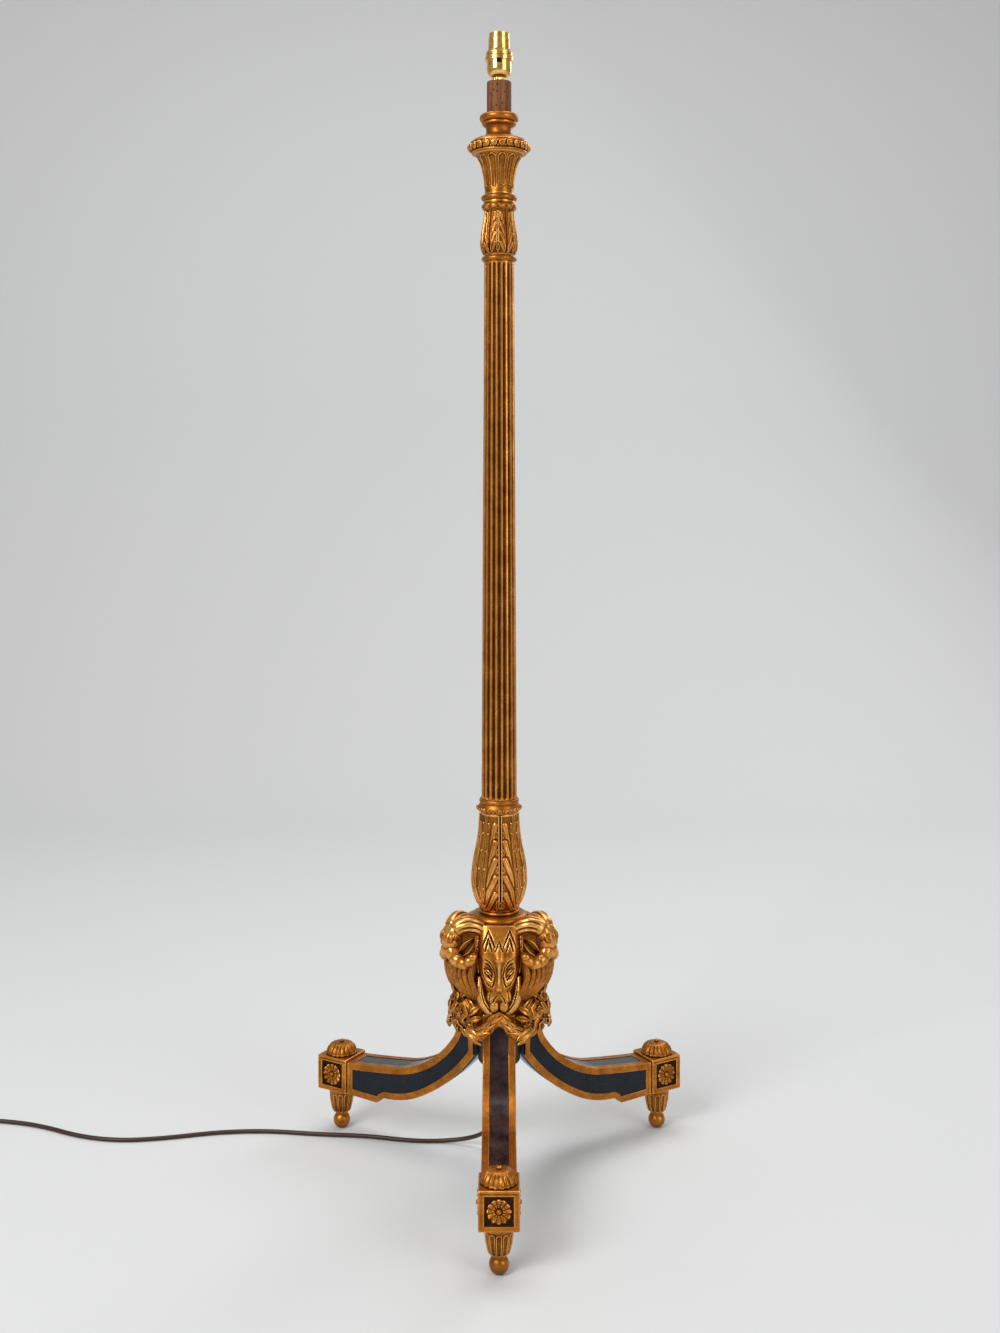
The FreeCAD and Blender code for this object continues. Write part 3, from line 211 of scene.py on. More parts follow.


# gilt tones from cut to edge: the dark end is partly old size and partly painted shade, the bright end partly
# rubbed gilding and partly painted highlight
gilt_wood = gilt("bronze_gilt_carved_wood", [(0.04, "220E04"), (0.26, "552A0C"), (0.48, "A0601C"),
                                             (0.66, "CE8430"), (0.92, "FCC070")])
blue_black_lacquer = lacquer("blue_black_lacquer_on_wood", "0A1019", "16202C")
plum_lacquer = lacquer("plum_brown_lacquer_on_wood", "241618", "4A3838")
teal_lacquer = lacquer("teal_black_lacquer_on_wood", "14211F", "2E4442")
# the underside strip is lighter blue-grey: a painted reflection of the pale floor
floor_reflection_lacquer = lacquer("blue_grey_lacquer_painted_floor_reflection", "27414F", "4A6C80")
bare_walnut = wood("bare_turned_walnut", "52301C", "9C6438", 5.0, 0.7)
ebonised_beech = wood("ebonised_turned_beech", "0E0C0B", "262120", 6.0, 0.34)
plain_beech = wood("plain_planed_beech", "A88658", "D2B486", 3.0, 0.6)
polished_brass = brass("spun_polished_brass", "FFD582", "E2AA50", 0.2)
satin_brass = brass("drawn_satin_brass", "E2BE72", "B98F42", 0.3)
black_phenolic = moulded("moulded_black_phenolic", "100E0C", 0.22, 1.6, 0.1)
brown_flex = moulded("extruded_brown_flex_sheath", "3A221B", 0.42, 1.2, 0.12)
bush_rubber = moulded("moulded_black_bush_rubber", "141110", 0.6, 1.0, 0.15)
black_urea = moulded("moulded_black_urea_plug", "15120F", 0.25, 2.0, 0.1)
glazed_ceramic = moulded("glazed_white_fuse_ceramic", "D8D4C8", 0.2, 3.0, 0.05)
spring_steel = material("drawn_spring_steel", {"Base Color": "9A9A98", "Metallic": 1.0, "Roughness": 0.32})[0]


# ---------------------------------------------------------------- camera, lights, floor
def placed(name, data, location=(0.0, 0.0, 0.0), rotation=(0.0, 0.0, 0.0)):
    """An object in the scene."""
    made = bpy.data.objects.new(name, data)
    made.location, made.rotation_euler = location, rotation
    bpy.context.scene.collection.objects.link(made)
    return made


def add_camera():
    """The photograph's eye: level, 2.04 m from the column, the picture slid down."""
    lens = bpy.data.cameras.new("camera")
    lens.lens, lens.sensor_width, lens.shift_y, lens.clip_end = 39.8, 36.0, -0.1399, 60.0
    bpy.context.scene.camera = placed("camera", lens, (0.0012, -2.040, 0.9535), (math.radians(90), 0.0, 0.0))


def softbox(name, place, aim, width, height, watts):
    """A rectangular light aimed at a height on the column."""
    lamp = bpy.data.lights.new(name, "AREA")
    lamp.shape, lamp.size, lamp.size_y, lamp.energy = "RECTANGLE", width, height, watts
    x, y, z = place
    placed(name, lamp, place, (math.atan2(math.hypot(x, y), z - aim), 0.0, math.atan2(y, x) + math.pi / 2))


def add_stage():
    """A sweep of seamless paper: floor, fillet and wall."""
    half, depth, rise, fillet, steps = 7.0, 3.2, 5.5, 1.2, 24
    bend = [math.pi / 2 * i / steps for i in range(steps + 1)]
    line = [(-7.0, 0.0)] + [(depth - fillet + fillet * math.sin(a), fillet - fillet * math.cos(a))
                            for a in bend] + [(depth, rise)]
    mesh = bpy.data.meshes.new("backdrop")
    mesh.from_pydata([(x, y, z) for y, z in line for x in (-half, half)], [],
                     [(2 * i, 2 * i + 1, 2 * i + 3, 2 * i + 2) for i in range(len(line) - 1)])
    mesh.materials.append(material("matt_backdrop_paper", {
        "Base Color": "DCDEDF", "Roughness": 0.9, "Specular IOR Level": 0.1})[0])
    mesh.polygons.foreach_set("use_smooth", [True] * len(mesh.polygons))
    placed("backdrop", mesh)


def add_light():
    """A big key from the left, a weaker fill, a top and a rim, in a faintly warm room."""
    softbox("key", (-2.2, -2.6, 3.0), 0.8, 1.6, 2.2, 100)
    softbox("fill", (2.6, -2.2, 1.6), 0.7, 1.6, 2.4, 30)
    softbox("top", (0.0, 0.6, 3.6), 0.5, 2.4, 1.6, 40)
    softbox("rim", (1.8, 2.2, 2.2), 0.8, 1.2, 1.8, 18)
    world = bpy.data.worlds.new("studio")
    world.use_nodes = True
    room = world.node_tree.nodes["Background"].inputs
    room["Color"].default_value = linear("F2EEE8")
    room["Strength"].default_value = 0.36
    bpy.context.scene.world = world
    bpy.context.scene.view_settings.view_transform = "Standard"


# ---------------------------------------------------------------- meshes from arrays
def facing(form, azimuth):
    """The form turned about the lamp's axis."""
    points, quads = form
    angle = math.radians(azimuth)
    c, s = math.cos(angle), math.sin(angle)
    x, y = points[:, 0], points[:, 1]
    return np.stack([c * x - s * y, s * x + c * y, points[:, 2]], 1), quads


def outward(form):
    """The form with its faces turned out; a face's first two and last two points change places."""
    points, quads = form
    a, b, c, d = (points[quads[:, i]] for i in range(4))
    volume = (np.cross(a, b) * c).sum() + (np.cross(a, c) * d).sum()
    return points, quads if volume > 0 else quads[:, [1, 0, 3, 2]]


def mirrored(form):
    """The form across the plane through its axis."""
    return outward((form[0] * (1, -1, 1), form[1]))


def joined(forms):
    """Several forms as one, keeping every face."""
    points, quads, base = [], [], 0
    for p, q in map(outward, forms):
        points.append(p)
        quads.append(q + base)
        base += len(p)
    return np.concatenate(points), np.concatenate(quads)


def with_mirror(form):
    return joined([form, mirrored(form)])


def on_legs(form):
    """The form once for each leg, as one."""
    return joined([facing(form, azimuth) for azimuth in LEGS.values()])


def vertex_normals(points, quads):
    a, b, c, d = (points[quads[:, i]] for i in range(4))
    across = np.cross(c - a, d - b)
    normals = np.zeros_like(points)
    for i in range(4):
        for axis in range(3):
            normals[:, axis] += np.bincount(quads[:, i], across[:, axis], len(points))
    return normals / np.maximum(np.linalg.norm(normals, axis=1, keepdims=True), 1e-12)


def proudness(points, quads, reach_mm, full_mm):
    """How far each point stands out of its smoothed surroundings: -1 in a cut, +1 on an edge."""
    pairs = np.concatenate([quads[:, [i, (i + 1) % 4]] for i in range(4)])
    pairs = pairs[pairs[:, 0] != pairs[:, 1]]
    pairs = np.concatenate([pairs, pairs[:, ::-1]])
    count = np.maximum(np.bincount(pairs[:, 0], None, len(points)), 1)
    step = np.linalg.norm(points[pairs[:, 0]] - points[pairs[:, 1]], axis=1).mean()
    smooth = points.copy()
    for _ in range(int(np.clip((reach_mm / step) ** 2, 2, 40))):
        near = np.stack([np.bincount(pairs[:, 0], smooth[pairs[:, 1], k], len(points)) for k in range(3)], 1)
        smooth = 0.5 * smooth + 0.5 * near / count[:, None]
    out = ((points - smooth) * vertex_normals(points, quads)).sum(1)
    return np.clip(out / full_mm, -1, 1)


def add_piece(name, form, nodes=(), paint=gilt_wood, reach=2.5, full=0.5, proud=None):
    """A mesh object from a form in mm, with its finish and the nodes it stands for."""
    points, quads = outward(form)
    three = quads[:, 2] == quads[:, 3]
    sizes = np.where(three, 3, 4)
    kept = np.ones(quads.shape, bool)
    kept[three, 3] = False
    mesh = bpy.data.meshes.new(name)
    mesh.vertices.add(len(points))
    mesh.vertices.foreach_set("co", (points * MM).astype(np.float32).ravel())
    mesh.loops.add(kept.sum())
    mesh.loops.foreach_set("vertex_index", quads[kept].astype(np.int32))
    mesh.polygons.add(len(quads))
    mesh.polygons.foreach_set("loop_start", (np.cumsum(sizes) - sizes).astype(np.int32))
    mesh.polygons.foreach_set("use_smooth", np.ones(len(quads), bool))
    mesh.update(calc_edges=True)
    if proud is None:
        proud = proudness(points, quads, reach, full)
    mesh.attributes.new("proud", "FLOAT", "POINT").data.foreach_set("value", np.asarray(proud, np.float32))
    mesh.materials.append(paint)
    made = placed(name, mesh)
    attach(made, "lamp")
    if nodes:
        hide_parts(*nodes)


def grid_quads(rows, columns, wrap):
    """Faces of a grid of points, row by row; a wrapped grid closes on itself."""
    r = np.arange(rows - 1)[:, None]
    c = np.arange(columns if wrap else columns - 1)[None, :]
    after = (c + 1) % columns
    return np.stack(np.broadcast_arrays(r * columns + c, r * columns + after,
                                        (r + 1) * columns + after, (r + 1) * columns + c), -1).reshape(-1, 4)


def capped(points, rows, columns):
    """A wrapped grid closed at both ends by a flat fan to the middle of each ring."""
    quads = grid_quads(rows, columns, True)
    low = points[:columns].mean(0)
    high = points[-columns:].mean(0)
    c = np.arange(columns)
    after = (c + 1) % columns
    first, last = len(points), len(points) + 1
    top = (rows - 1) * columns
    foot = np.stack([after, c, np.full(columns, first), np.full(columns, first)], 1)
    head = np.stack([top + c, top + after, np.full(columns, last), np.full(columns, last)], 1)
    return np.concatenate([points, [low, high]]), np.concatenate([quads, foot, head])


def raised(level, outline):
    """An outline drawn up from nought, lifted to its level."""
    return [tuple(v + level * (i % 2) for i, v in enumerate(place)) for place in outline]


def outline_points(outline, spacing):
    """Points along a turned outline: (r, z) straight on, (r, z, mid_r, mid_z) round an arc."""
    line = [complex(*outline[0])]
    for r, z, *mid in outline[1:]:
        start, end = line[-1], complex(r, z)
        if not mid:
            count = max(1, math.ceil(abs(end - start) / spacing))
            line += [start + (end - start) * (i + 1) / count for i in range(count)]
            continue
        chord = complex(*mid) - start
        ratio = (end - start) / chord
        centre = start + chord * (ratio - abs(ratio) ** 2) / (2j * ratio.imag)
        to_mid, sweep = (cmath.phase((place - centre) / (start - centre)) % (2 * math.pi)
                         for place in (start + chord, end))
        sweep -= 2 * math.pi * (to_mid > sweep)
        count = max(2, math.ceil(abs(sweep * (start - centre)) / spacing))
        line += [centre + (start - centre) * cmath.exp(1j * sweep * (i + 1) / count) for i in range(count)]
    return np.array([(place.real, place.imag) for place in line])


def around(columns):
    """Angles all the way round, as one row."""
    return np.linspace(0, 2 * math.pi, columns, endpoint=False)[None, :]


def turned(outline, columns, spacing, carve=None, repeats=1, phase_deg=0.0, by_outline=False):
    """A turned and carved form. carve(relief) gives how far the carving stands out, mm; its
    v is the height over the outline's foot, or the way along the outline."""
    line = outline_points(outline, spacing)
    heading = np.gradient(line, axis=0)
    heading /= np.maximum(np.linalg.norm(heading, axis=1, keepdims=True), 1e-9)
    angle = around(columns)
    r, z = line[:, :1], line[:, 1:]
    if carve:
        up = z - z[0]
        if by_outline:
            up = np.append(0, np.cumsum(np.linalg.norm(np.diff(line, axis=0), axis=1)))[:, None]
        out = carve(Relief(angle, up, r, repeats, phase_deg))
        r, z = r + out * heading[:, 1:], z - out * heading[:, :1]
    r, z = np.broadcast_arrays(r + 0 * angle, z + 0 * angle)
    points = np.stack([r * np.cos(angle), r * np.sin(angle), z], -1).reshape(-1, 3)
    return capped(points, len(line), columns)


# ---------------------------------------------------------------- carving on turned surfaces
def depth_shade(form, outline, reach, full, deep):
    """Proudness that also counts how far each point stands out of the plain turning, so sunk ground is
    painted darker as shade.
    """
    line = outline_points(outline, 0.5)
    x, y, z = form[0].T
    rise = np.hypot(x, y) - np.interp(z, line[:, 1], line[:, 0])
    return np.clip(proudness(*form, reach, full) + deep * rise, -1, 1)


def eased(value, low, high):
    """0 below a range and 1 above it, with a smooth step between."""
    t = np.clip((value - low) / (high - low), 0, 1)
    return t * t * (3 - 2 * t)


def within(value, low, full_low, full_high, high):
    """1 in a range, eased to 0 outside it."""
    return eased(value, low, full_low) * (1 - eased(value, full_high, high))


def hill(value, middle, width):
    """A smooth swell of height 1."""
    return np.exp(-((value - middle) / width) ** 2)


def dome(gap):
    """A half round of height 1, nought where the gap passes 1."""
    return np.sqrt(np.clip(1 - gap ** 2, 0, 1))


class Relief:
    """Low carving round a turned piece, one motif repeated; u runs round and v up, in mm."""

    def __init__(self, angle, up, radius, repeats, phase_deg=0.0):
        self.radius = radius
        pitch = 2 * math.pi / repeats
        start = math.radians(LEGS["front"] + phase_deg) - pitch / 2
        turn = (angle - start) % pitch - pitch / 2
        self.u = turn * radius
        self.v = up + 0 * turn
        self.edge = pitch / 2 * radius + 0 * turn
        self.half = np.abs(self.u) / self.edge
        self.apart = self.edge - np.abs(self.u)
        self.height = np.zeros(self.u.shape)

    def across(self, points, both):
        """Distance from a drawn line and the share of it passed at the nearest place."""
        u = np.abs(self.u) if both else self.u
        line = np.array(points, float)
        runs = np.linalg.norm(np.diff(line, axis=0), axis=1)
        total, passed = runs.sum(), 0.0
        best = np.full(u.shape, 1e9)
        share = np.zeros(u.shape)
        for a, b, run in zip(line, line[1:], runs):
            t = np.clip(((u - a[0]) * (b[0] - a[0]) + (self.v - a[1]) * (b[1] - a[1])) / run ** 2, 0, 1)
            gap = np.hypot(u - a[0] - t * (b[0] - a[0]), self.v - a[1] - t * (b[1] - a[1]))
            nearer = gap < best
            best = np.where(nearer, gap, best)
            share = np.where(nearer, (passed + t * run) / total, share)
            passed += run
        return best, share

    def leaf(self, points, root, tip, body, rim):
        """A small hollowed leaf along a line: a raised rim and a dished body, cut round."""
        gap, share = self.across(points, True)
        q = gap / (root + (tip - root) * share)
        face = body + rim * hill(q, 0.80, 0.20)
        self.height += (1 - eased(q, 0.98, 1.14)) * (face - self.height)
        self.height -= 0.5 * hill(q, 1.26, 0.13)

    def lobe(self, points, root, tip, ground, rise, groove):
        """A full, rounded lobe of a leaf, cut round with a deep groove."""
        gap, share = self.across(points, True)
        q = gap / (root + (tip - root) * share)
        self.height -= groove * hill(q, 1.12, 0.17)
        face = ground + rise * dome(q / 1.02) - 0.5 * hill(q, 0, 0.16)
        self.height += (1 - eased(q, 0.92, 1.04)) * (face - self.height)

    def ridge(self, points, half_width, rise):
        gap, _ = self.across(points, True)
        self.height = np.maximum(self.height, rise * (1 - eased(gap, 0.25 * half_width, half_width)))

    def cut(self, points, half_width, depth, both=True):
        gap, _ = self.across(points, both)
        self.height -= depth * hill(gap, 0, 0.6 * half_width)

    def bead(self, gap, rise):
        """A half round; the gap is from its middle, in shares of its radius."""
        self.height = np.where(gap < 1, np.maximum(self.height, rise * dome(gap)), self.height)

    def hollow(self, low, high, share):
        """How far each place is from the middle of a round-ended hollow, 1 at its edge."""
        beyond = np.maximum(np.maximum(self.v - high, low - self.v), 0) / self.edge
        return np.hypot(self.half, beyond) / share


def add_baluster():
    """Four tall acanthus leaves with doubled ribs, stems with dots between them."""
    outline = raised(BALUSTER_Z, [(25.2, 0), (37.3, 41.0, 33.6, 18.0), (30.6, 86.0, 35.1, 64.0),
                                  (26.2, COLLAR_Z - BALUSTER_Z, 27.5, 108.0)])

    def carve(cut):
        cut.height -= 0.9
        cut.lobe([(21.5, 3.0), (25.0, 40.0), (20.0, 78.0), (16.5, 118.0)], 3.6, 2.2, -0.6, 1.6, 0.8)
        for top, reach in ((127.0, 13.0), (104.0, 15.0), (81.0, 18.0), (58.0, 20.0), (35.0, 18.5)):
            cut.lobe([(reach, max(top - 50.0, 2.0)), (0.82 * reach, top - 27.0), (7.0, top - 8.0)],
                     3.2, 4.6, -0.6, 2.6, 1.5)
            for step in (17.0, 23.0, 29.0):
                cut.lobe([(5.6, top - step - 5.0), (4.0, top - step)], 1.6, 1.5, -0.6, 1.7, 0.6)
        cut.ridge([(1.9, 12.0), (1.8, 132.0)], 1.5, 2.3)
        cut.cut([(0.0, 10.0), (0.0, 150.0)], 1.1, 2.2)
        cut.leaf([(0.0, 9.5), (0.0, 13.0)], 3.0, 2.8, 0.4, 1.6)
        # the plain channel between two leaves, its stem and dots
        cut.height += 1.3 * hill(cut.apart, 1.2, 0.9) - 0.8 * hill(cut.apart, 0, 0.5)
        for height in (34.0, 60.0, 84.0, 107.0, 121.0):
            cut.bead(np.hypot(cut.apart - 4.6, cut.v - height) / 1.6, 2.2)
        return (cut.height - 0.5) * eased(cut.v, 0.0, 4.0)

    form = turned(outline, 384, 0.64, carve, 4, 3.0)
    add_piece("acanthus_baluster_carved", form, ["acanthus_baluster"],
              proud=depth_shade(form, outline, 2.6, 1.0, 0.30))


def add_collar():
    """A band of leaf tips under a rope of eight beads."""
    top = COLUMN_Z - COLLAR_Z
    outline = raised(COLLAR_Z, [(20.0, 0), (26.0, 0), (28.2, 2.6), (27.8, 10.8, 30.0, 6.7), (26.2, 13.2),
                                (26.0, top, 27.4, top - 2.6), (20.0, top)])

    def carve(cut):
        wave = 5.2 + 1.7 * np.cos(cut.u / cut.edge * 4.0 * math.pi)
        cut.height = 1.7 * hill(cut.v, wave, 1.0) + 0.5 * (cut.v > wave) - 1.2
        cut.bead(np.hypot(cut.u, cut.v - 6.0) / 3.0, 1.9)
        return cut.height * within(cut.v, 0.6, 2.4, 9.6, 11.4) * (cut.radius > 25.0)

    add_piece("column_collar_carved", turned(outline, 384, 0.5, carve, 8, 1.5), ["column_collar"], reach=1.6)


def add_column():
    """Eighteen hollow flutes, each with a rounded end, a hollow facing the front."""
    flutes, flute_depth, end_room, end_round = 18, 2.3, 1.0, 5.0
    runs = ((0, 12, 22), (14, 726, 40), (728.5, COLUMN_H, 22))
    z = np.concatenate([np.linspace(*run) for run in runs])[:, None]
    angle = around(flutes * 20)
    radius = COLUMN_FOOT_R + (COLUMN_HEAD_R - COLUMN_FOOT_R) * z / COLUMN_H
    side = Relief(angle, z, 1.0, flutes).half / 0.70
    # past the round end the hollow closes as a quarter circle
    end_gap = np.minimum(z - end_room, COLUMN_H - end_room - z) / end_round
    edge = np.where(end_gap < 1, np.hypot(side, np.clip(1 - end_gap, 0, 9)), side)
    depth = flute_depth * dome(edge)
    r = radius - depth
    points = np.stack([r * np.cos(angle), r * np.sin(angle), COLUMN_Z + z + 0 * angle], -1).reshape(-1, 3)
    # the flute hollows are painted darker as shade and the fillets lighter as highlight
    proud = np.clip(0.40 - depth / flute_depth, -1, 1).ravel()
    add_piece("fluted_column_turned", capped(points, *depth.shape), ["fluted_column"],
              proud=np.concatenate([proud, [0, 0]]))


def add_knop():
    """Six acanthus leaves wrapping a small vase, their tips turned out at its lip."""
    top = UPPER_RING_Z - KNOP_Z
    outline = raised(KNOP_Z, [
        (20.6, 0), (25.8, 16.0, 23.7, 6.4), (22.4, 43.3, 24.9, 27.0), (20.6, 62.3, 21.0, 53.0), (23.7, 65.5),
        (21.4, top - 3.3, 23.7, 69.5), (21.4, top)])

    def carve(cut):
        cut.height -= 0.5
        for top, reach in ((61.0, 7.5), (47.0, 8.5), (33.0, 10.0), (19.5, 9.5)):
            cut.lobe([(reach, max(top - 27.0, 1.5)), (0.82 * reach, top - 14.0), (3.9, top - 4.0)],
                     1.8, 2.5, -0.3, 1.7, 1.0)
        cut.ridge([(1.2, 9.0), (1.1, 60.0)], 1.0, 1.5)
        cut.cut([(0.0, 8.0), (0.0, 60.0)], 0.9, 1.6)
        cut.leaf([(0.0, 7.0), (0.0, 10.5)], 2.4, 2.2, 0.3, 1.1)
        cut.bead(np.hypot(cut.u, cut.v - 3.4) / 1.2, 1.4)
        cut.height += 0.5 * hill(cut.apart, 2.2, 0.7) - 0.6 * hill(cut.apart, 0, 1.1)
        carved = (cut.height - 0.7) * within(cut.v, 0.5, 3.5, 60.5, 63.0)
        # the lip: leaf tips, two to a leaf, with a cut between them
        scallop = np.abs(np.sin(cut.u / cut.edge * math.pi))
        return carved + hill(cut.v, 66.0, 2.6) * (1.7 * scallop - 0.9)

    form = turned(outline, 336, 0.5, carve, 6, -4.0)
    add_piece("acanthus_knop_carved", form, ["acanthus_knop"],
              proud=depth_shade(form, outline, 1.8, 0.8, 0.35))


def add_cup():
    """Twelve stopped hollows with raised rims, opening towards the capital."""
    outline = raised(CUP_Z, [(19.7, 0), (19.7, 7.3), (22.7, 32.7, 20.3, 20.0),
                             (34.5, CAPITAL_Z - CUP_Z, 27.3, 47.0)])

    def carve(cut):
        q = cut.hollow(8.5 + 0.7 * cut.edge, 54.0 - 0.7 * cut.edge, 0.74)
        dart = 0.7 * hill(cut.half, 1, 0.10) * within(cut.v, 16.0, 26.0, 47.0, 54.0)
        height = 0.95 * hill(q, 0.97, 0.12) - 2.0 * dome(q / 0.86) + dart - 0.45 * hill(q, 1.2, 0.10)
        return height * within(cut.v, 5.0, 8.0, 58.0, 60.0)

    add_piece("fluted_cup_carved", turned(outline, 360, 0.5, carve, 12, 9.0, by_outline=True), ["fluted_cup"],
              reach=2.0, full=0.6)


def add_capital():
    """The egg moulding, a hollow neck and a plain torus under the spigot."""
    top = SPIGOT_Z - CAPITAL_Z
    torus = top - 15.3
    outline = raised(CAPITAL_Z, [
        (30.0, 0), (37.45, 0), (38.65, 1.4), (38.65, 3.0), (43.7, 9.2, 42.1, 5.2), (23.3, 22.3, 37.7, 17.6),
        (18.0, 32.9, 19.2, 26.5), (23.0, torus, 19.6, 37.6), (24.0, torus + 1.2), (24.0, torus + 3.2),
        (22.6, torus + 4.0), (21.0, top, 27.2, (torus + 4.0 + top) / 2), (16.0, top)])

    def carve(cut):
        middle = np.hypot(cut.half / 0.86, (cut.v - 8.2) / 5.4)
        eggs = 1.6 * dome(middle) - 1.3 * hill(middle, 1.10, 0.13) - 0.8
        band = (cut.v > 2.6) * (cut.v < 15.0) * (cut.radius > 37.5)
        return eggs * band - 0.8 * hill(cut.radius, 33.0, 0.8) * (cut.v > 8.4) * (cut.v < 24.0)

    add_piece("capital_carved", turned(outline, 432, 0.55, carve, 24, 5.4), ["capital"], reach=1.8)


def add_spigot():
    """Bare turned wood, pricked by the pins of old shades."""
    top = SPIGOT_TOP - SPIGOT_Z
    outline = raised(SPIGOT_Z, [(10.0, 0), (17.0, 0), (17.0, top - 0.8), (16.2, top), (6.0, top)])
    pins = [(-2.6, 38.0), (9.8, 37.6), (-2.6, 28.0), (9.0, 27.7), (-14.4, 26.3), (-10.6, 22.7), (2.1, 18.9),
            (-6.8, 44.2), (-9.0, 31.0), (5.0, 12.0), (13.5, 20.0), (-4.0, 9.0)]

    def carve(cut):
        for u, v in [(u + turn, v) for turn in (0.0, 35.0, -38.0) for u, v in pins]:
            cut.cut([(u, v), (u + 0.01, v)], 1.7, 2.2, False)
        return cut.height * (cut.radius > 16.0)

    add_piece("spigot_turned", turned(outline, 300, 0.45, carve), ["top_spigot"], bare_walnut,
              reach=2.2, full=0.7)


def add_base_ring():
    """The torus and bead that the baluster stands on."""
    top = BALUSTER_Z - HUB_TOP
    outline = raised(HUB_TOP, [(20.0, 0), (33.0, 0), (31.0, top - 5.3, 38.9, 6.4), (26.2, top - 4.5),
                               (25.6, top - 0.3, 28.0, top - 2.3), (20.0, top)])
    add_piece("base_ring_turned", turned(outline, 192, 0.8), ["base_ring"], reach=3.0, full=1.0)


# ---------------------------------------------------------------- carving in the round
class Clay:
    """A block being carved, kept as distances in mm on a grid: below nought is wood."""

    def __init__(self, low, high, cell):
        self.cell = cell
        self.axes = [np.arange(a, b + cell, cell) for a, b in zip(low, high)]
        self.field = np.full([len(a) for a in self.axes], 9.0)

    def window(self, low, high):
        cuts = tuple(slice(np.searchsorted(axis, a), np.searchsorted(axis, b) + 1)
                     for axis, a, b in zip(self.axes, low, high))
        x, y, z = (axis[c] for axis, c in zip(self.axes, cuts))
        return cuts, x[:, None, None], y[None, :, None], z[None, None, :]

    def work(self, cuts, shape, soft, cut=False):
        """Adds a shape to the wood, or cuts it out, with its edge softened over some mm."""
        a, b = (-self.field[cuts], shape) if cut else (self.field[cuts], shape)
        h = np.clip(0.5 + 0.5 * (b - a) / soft, 0, 1)
        mixed = b * (1 - h) + a * h - soft * h * (1 - h)
        self.field[cuts] = -mixed if cut else mixed

    def stroke(self, points, radii, soft=1.0, cut=False):
        """A round tool drawn through points, its radius changing on the way."""
        line = np.array(points, float)
        sizes = np.interp(np.linspace(0, 1, len(line)), np.linspace(0, 1, len(np.atleast_1d(radii))),
                          np.atleast_1d(radii))
        room = sizes.max() + soft + 2 * self.cell
        cuts, x, y, z = self.window(line.min(0) - room, line.max(0) + room)
        shape = None
        for a, b, ra, rb in zip(line, line[1:], sizes, sizes[1:]):
            run = b - a
            at = (x - a[0], y - a[1], z - a[2])
            t = np.clip(sum(p * d for p, d in zip(at, run)) / run.dot(run), 0, 1)
            gap = np.sqrt(sum((p - t * d) ** 2 for p, d in zip(at, run))) - (ra + (rb - ra) * t)
            shape = gap if shape is None else np.minimum(shape, gap)
        if shape.size:
            self.work(cuts, shape, soft, cut)

    def ball(self, centre, radii, soft=1.0, cut=False):
        centre, radii = np.array(centre, float), np.array(radii, float)
        room = radii + soft + 2 * self.cell
        cuts, x, y, z = self.window(centre - room, centre + room)
        x, y, z = (x - centre[0]) / radii[0], (y - centre[1]) / radii[1], (z - centre[2]) / radii[2]
        far = np.sqrt(x ** 2 + y ** 2 + z ** 2)
        steep = np.sqrt((x / radii[0]) ** 2 + (y / radii[1]) ** 2 + (z / radii[2]) ** 2)
        self.work(cuts, far * (far - 1) / np.maximum(steep, 1e-6), soft, cut)

    def front(self, y, z):
        """How far out the wood reaches at a place seen from the front."""
        j = np.clip(int(round((y - self.axes[1][0]) / self.cell)), 0, len(self.axes[1]) - 1)
        k = np.clip(int(round((z - self.axes[2][0]) / self.cell)), 0, len(self.axes[2]) - 1)
        wood = np.nonzero(self.field[:, j, k] < 0)[0]
        return self.axes[0][wood[-1]] if len(wood) else self.axes[0][0]

    def draw(self, points, radii, lift, soft=0.6, both=True):
        """A cut drawn on the face as seen from the front, (y, z), its tool lifted by some mm."""
        line = np.array(points, float)
        runs = np.concatenate([[0], np.cumsum(np.linalg.norm(np.diff(line, axis=0), axis=1))])
        places = np.linspace(0, runs[-1], max(3, int(runs[-1] / 1.6) + 1))
        y, z = (np.interp(places, runs, line[:, k]) for k in (0, 1))
        x = np.array([self.front(a, b) for a, b in zip(y, z)])
        x = np.convolve(np.pad(x, 1, "edge"), (0.25, 0.5, 0.25), "valid") + lift
        for side in ((1, -1) if both else (1,)):
            self.stroke(np.stack([x, y * side, z], 1), radii, soft, True)

    def form(self):
        """The surface as quads, one point in each cell that it crosses."""
        f, inside = self.field, self.field < 0
        ends = np.array(f.shape) - 1
        offsets = np.array(list(np.ndindex(2, 2, 2)))
        corners = [f[tuple(slice(o, o + n) for o, n in zip(offset, ends))] for offset in offsets]
        count = sum((c < 0).astype(np.int8) for c in corners)
        cells = np.argwhere((count > 0) & (count < 8))
        at = tuple(cells.T)
        values = [c[at] for c in corners]
        total, hits = np.zeros(cells.shape), np.zeros(len(cells))
        # corners a and b stand one step apart, at the two ends of an edge of the cell
        for a, b in [(a, a + step) for a in range(8) for step in (1, 2, 4) if not a & step]:
            crossed = (values[a] < 0) != (values[b] < 0)
            t = np.where(crossed, values[a] / np.where(crossed, values[a] - values[b], 1), 0)
            total += crossed[:, None] * (offsets[a] + t[:, None] * (offsets[b] - offsets[a]))
            hits += crossed
        points = np.array([a[0] for a in self.axes]) + (cells + total / hits[:, None]) * self.cell
        number = np.full(ends, -1)
        number[at] = np.arange(len(cells))
        quads = []
        for axis, sides in enumerate(([1, 2], [0, 2], [0, 1])):
            low, high = (np.take(inside, range(k, ends[axis] + k), axis) for k in (0, 1))
            edges = np.argwhere(low != high)
            edges = edges[((edges[:, sides] > 0) & (edges[:, sides] < ends[sides])).all(1)]
            ring = []
            for step in ((-1, -1), (0, -1), (0, 0), (-1, 0)):
                near = edges.copy()
                near[:, sides] += step
                ring.append(number[tuple(near.T)])
            ring = np.stack(ring, 1)
